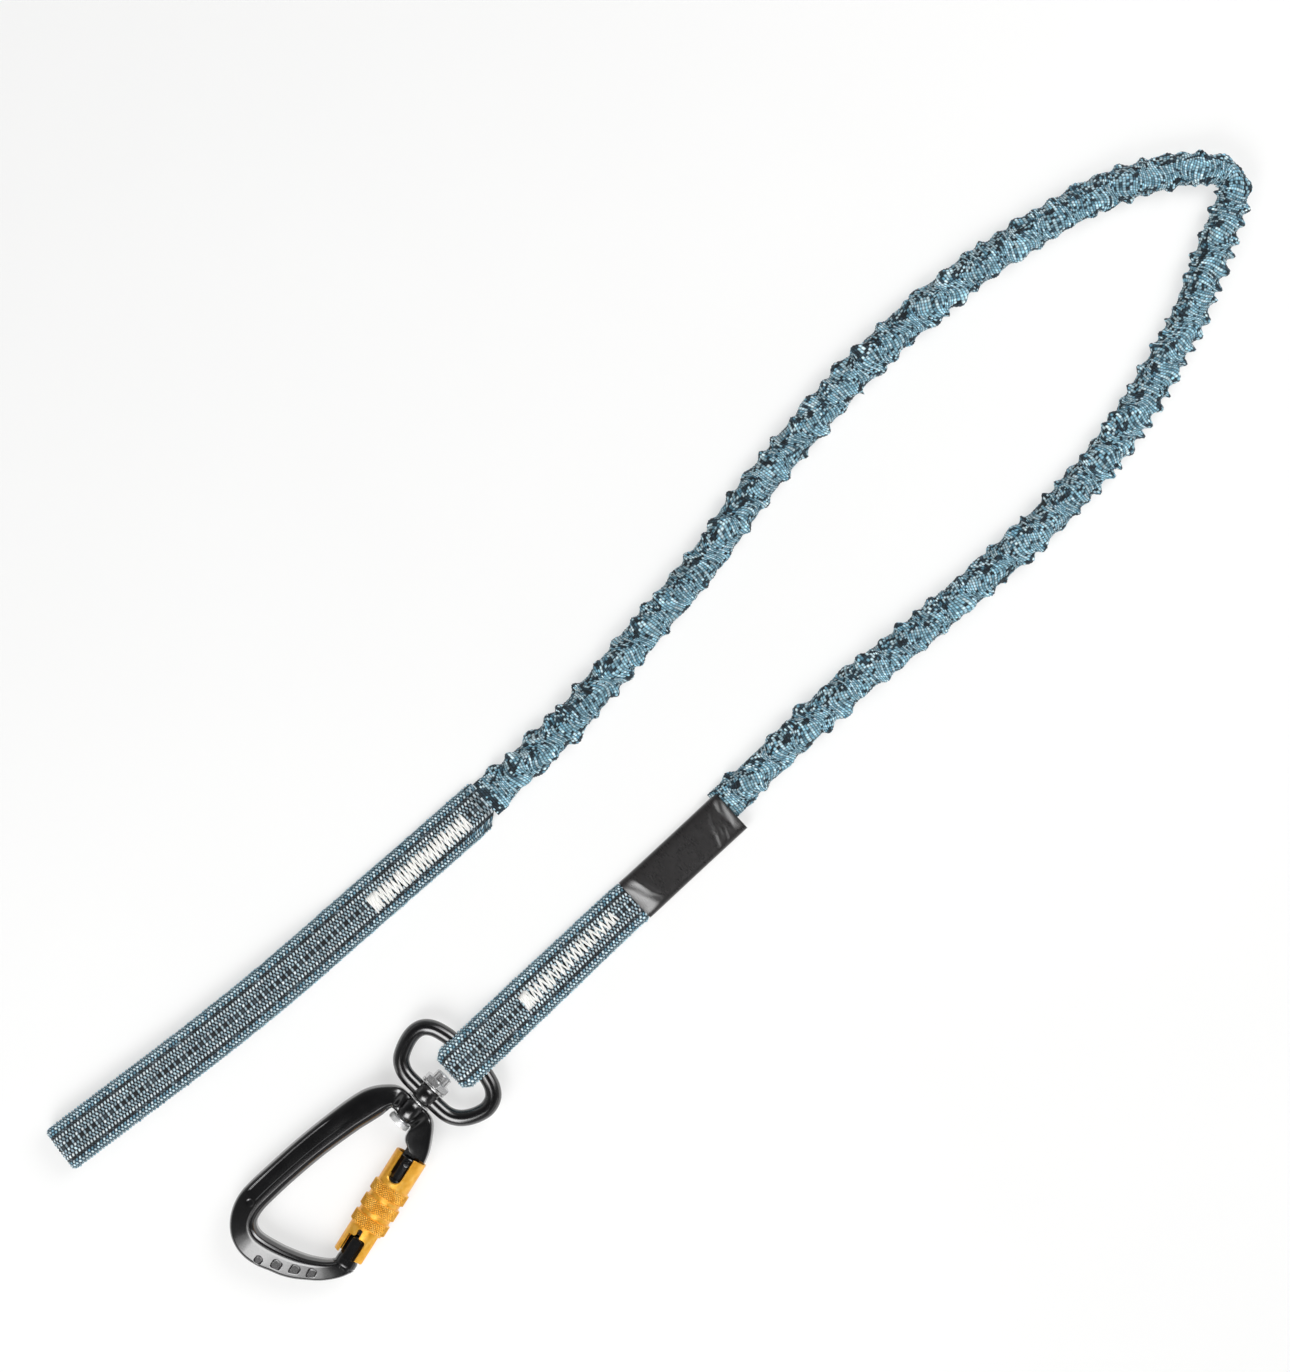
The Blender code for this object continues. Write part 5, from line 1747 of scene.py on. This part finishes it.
def spring(name, node, t0, t1, turns, r, wire, body):
    """A coil spring with closed ends."""
    per = 28
    n = int(turns * per) + 1
    f = np.linspace(0, 1, n)
    a_ = 2 * math.pi * turns * f
    line = np.stack([t0 + (t1 - t0) * f, r * np.cos(a_), r * np.sin(a_)], 1)
    q = directions(line)
    out = np.stack([0 * a_, np.cos(a_), np.sin(a_)], 1)
    sd = np.cross(q, out)
    th = 2 * math.pi * np.arange(10) / 10
    co = line[:, None] + wire * (out[:, None] * np.cos(th)[None, :, None] + sd[:, None] * np.sin(th)[None, :, None])
    co = at_gate(co[..., 0], co[..., 1], co[..., 2]).reshape(-1, 3)
    faces = [grid(n, 10), cap(np.arange(10)[::-1]), cap((n - 1) * 10 + np.arange(10))]
    obj = make(name, co, faces, SPRING, sharp=50)
    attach(obj, body)
    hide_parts(node)
    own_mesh(obj)
    return obj


spring("closing_spring", "gate_spring", 20.2, 25.8, 6, 0.85, 0.17, "gate")
spring("sleeve_return_spring", "sleeve_spring", 19.45, 24.7, 3.5, 3.8, 0.26, "gate")
plunger = rounded([(26.1, 0.05), (26.1, 1.1), (28.4, 1.1), (29.1, 0.35), (29.1, 0.03)], [0, 0.15, 0.3, 0.2, 0], 4)
fitting("closing_plunger", "gate_plunger", *revolve(at_gate, plunger, 40), STEEL, "plunger", "steel")
collar = rounded([(25.1, 3.32), (25.1, 4.15), (26.45, 4.15), (26.45, 3.32)], 0.15, 3, closed=True)
fitting("spring_collar", "sleeve_collar", *revolve(at_gate, collar, 72, closed=True), BLACK, "collar", "black")


# ---------------------------------------------------------- the locking sleeve
def sleeve_piece():
    R, KN, BORE = 5.05, 5.66, 4.4
    ring_at = ((9.7, 13.7), (14.9, 19.0), (20.2, 24.2))
    n = 384
    th = 2 * math.pi * np.arange(n) / n
    # outside: plain between the rings, diamond knurled on them
    t_out = [0.0, 0.06, 0.16, 0.30]
    r_out = [R - 0.22, R - 0.10, R - 0.03, R]
    knurl = [0.0] * 4
    prev = 0.30
    for a_, b_ in ring_at:
        for f in np.linspace(prev, a_, 8)[1:]:
            t_out.append(f), r_out.append(R), knurl.append(0.0)
        for f in (0.25, 0.5, 0.75, 1.0):
            t_out.append(a_ + 0.38 * f), r_out.append(R + (KN - 0.12 - R) * f), knurl.append(0.25 * f)
        m = int((b_ - a_ - 0.76) / 0.1)
        for f in np.linspace(a_ + 0.38, b_ - 0.38, m + 1)[1:]:
            t_out.append(f), r_out.append(KN - 0.12), knurl.append(1.0)
        for f in (0.75, 0.5, 0.25, 0.0):
            t_out.append(b_ - 0.38 * f), r_out.append(R + (KN - 0.12 - R) * f), knurl.append(0.25 * f)
        prev = b_
    for f in np.linspace(prev, SLEEVE_LEN - 0.30, 8)[1:]:
        t_out.append(f), r_out.append(R), knurl.append(0.0)
    t_out += [SLEEVE_LEN - 0.16, SLEEVE_LEN - 0.06, SLEEVE_LEN]
    r_out += [R - 0.03, R - 0.10, R - 0.22]
    knurl += [0.0] * 3
    t_out, r_out, knurl = (np.array(v) for v in (t_out, r_out, knurl))
    teeth = 42
    p = teeth * th[None] / 2
    q = t_out[:, None] * math.pi / 0.86
    diamond = np.abs(np.sin(p + q)) * np.abs(np.sin(p - q))
    rr = r_out[:, None] + knurl[:, None] * (0.34 * diamond - 0.10)
    # inside
    t_in = [0, 0.3, 9.4, 14.6, 14.62, 18.0, 18.02, 22.9, 26.72, 26.75, 27.65, 27.68, 30, 33, 34.1, SLEEVE_LEN - 0.15, SLEEVE_LEN]

    def bore(t):
        if 14.62 <= t <= 18.0:
            return 4.85
        if 26.75 <= t <= 27.65:
            return 3.5
        return BORE + (0.12 if t in (0, SLEEVE_LEN) else 0)

    t_in = np.array(t_in[::-1], float)
    r_in = np.array([bore(t) for t in t_in])
    t_all = np.r_[t_out, t_in]
    r_all = np.vstack([rr, np.broadcast_to(r_in[:, None], (len(t_in), n))])
    co = at_gate(t_all[:, None] + 0 * th, r_all * np.cos(th), r_all * np.sin(th)).reshape(-1, 3)
    sleeve = make("sleeve_knurled", co, [grid(len(t_all), n, wrap_n=True)], GOLD)
    turn = math.radians(12)

    def cutter(outline, levels):
        """Outline in (along, across) cut square to the axis; each level is (radius, growth)."""
        c_ = np.asarray(outline, float)
        mid = c_.mean(0)
        out = []
        for radius, grow in levels:
            d_ = c_ - mid
            g_ = c_ + np.sign(d_) * grow
            ang = np.arcsin(np.clip(g_[:, 1] / max(radius, 3.4), -0.98, 0.98)) + turn
            out.append(at_gate(g_[:, 0], radius * np.sin(ang), radius * np.cos(ang)))
        out = np.array(out)
        k, m = out.shape[:2]
        return out.reshape(-1, 3), [grid(k, m), cap(np.arange(m)[::-1]), cap((k - 1) * m + np.arange(m))]

    nose = rounded(
        [(-1, -2.85), (6.7, -2.85), (6.7, -0.55), (9.0, -0.55), (9.0, 0.75), (6.7, 0.75), (6.7, 2.85), (-1, 2.85)],
        [0, 1.3, 0.3, 0.45, 0.45, 0.3, 1.3, 0],
        6,
        closed=True,
    )
    boolean(sleeve, *cutter(nose, ((3.0, 0), (4.72, 0), (5.06, 0.24), (7.0, 0.6))), "DIFFERENCE")
    hinge = [(36, -2.05), (36, 2.05)] + [
        (27.55 + 2.05 * math.cos(a_), 2.05 * math.sin(a_)) for a_ in np.linspace(math.pi / 2, 3 * math.pi / 2, 25)
    ]
    boolean(sleeve, *cutter(hinge, ((3.0, 0), (4.72, 0), (5.06, 0.24), (7.0, 0.6))), "DIFFERENCE")
    co = np.array(
        [
            [at_gate(t, -7.5, -2.5), at_gate(t, -2.3, -2.5), at_gate(t, -2.3, 2.5), at_gate(t, -7.5, 2.5)]
            for t in (-1, 9.3)
        ]
    ).reshape(-1, 3)
    boolean(sleeve, co, [grid(2, 4), cap([3, 2, 1, 0]), cap([4, 5, 6, 7])], "DIFFERENCE")
    tidy(sleeve, 40)
    # painted shade and highlight for the knurl: by height on the rings, darker in the hollows and lighter on the
    # crests; an even value off the rings
    v = np.empty(len(sleeve.data.vertices) * 3, np.float32)
    sleeve.data.vertices.foreach_get("co", v)
    v = v.reshape(-1, 3).astype(float) - at_gate(0, 0)
    c, s_ = math.cos(GATE_ANGLE), math.sin(GATE_ANGLE)
    far_out = np.hypot(v[:, 1] * c - v[:, 0] * s_, v[:, 2]) / MM
    far_on = (v[:, 0] * c + v[:, 1] * s_) / MM
    on_ring = sum((far_on > a_ + 0.3) & (far_on < b_ - 0.3) for a_, b_ in ring_at) > 0
    put(sleeve.data, "painted_relief_shading", np.where(on_ring, np.clip((far_out - KN + 0.22) / 0.32, 0, 1), 0.75), "POINT")
    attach(sleeve, "sleeve")
    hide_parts("locking_sleeve")


sleeve_piece()
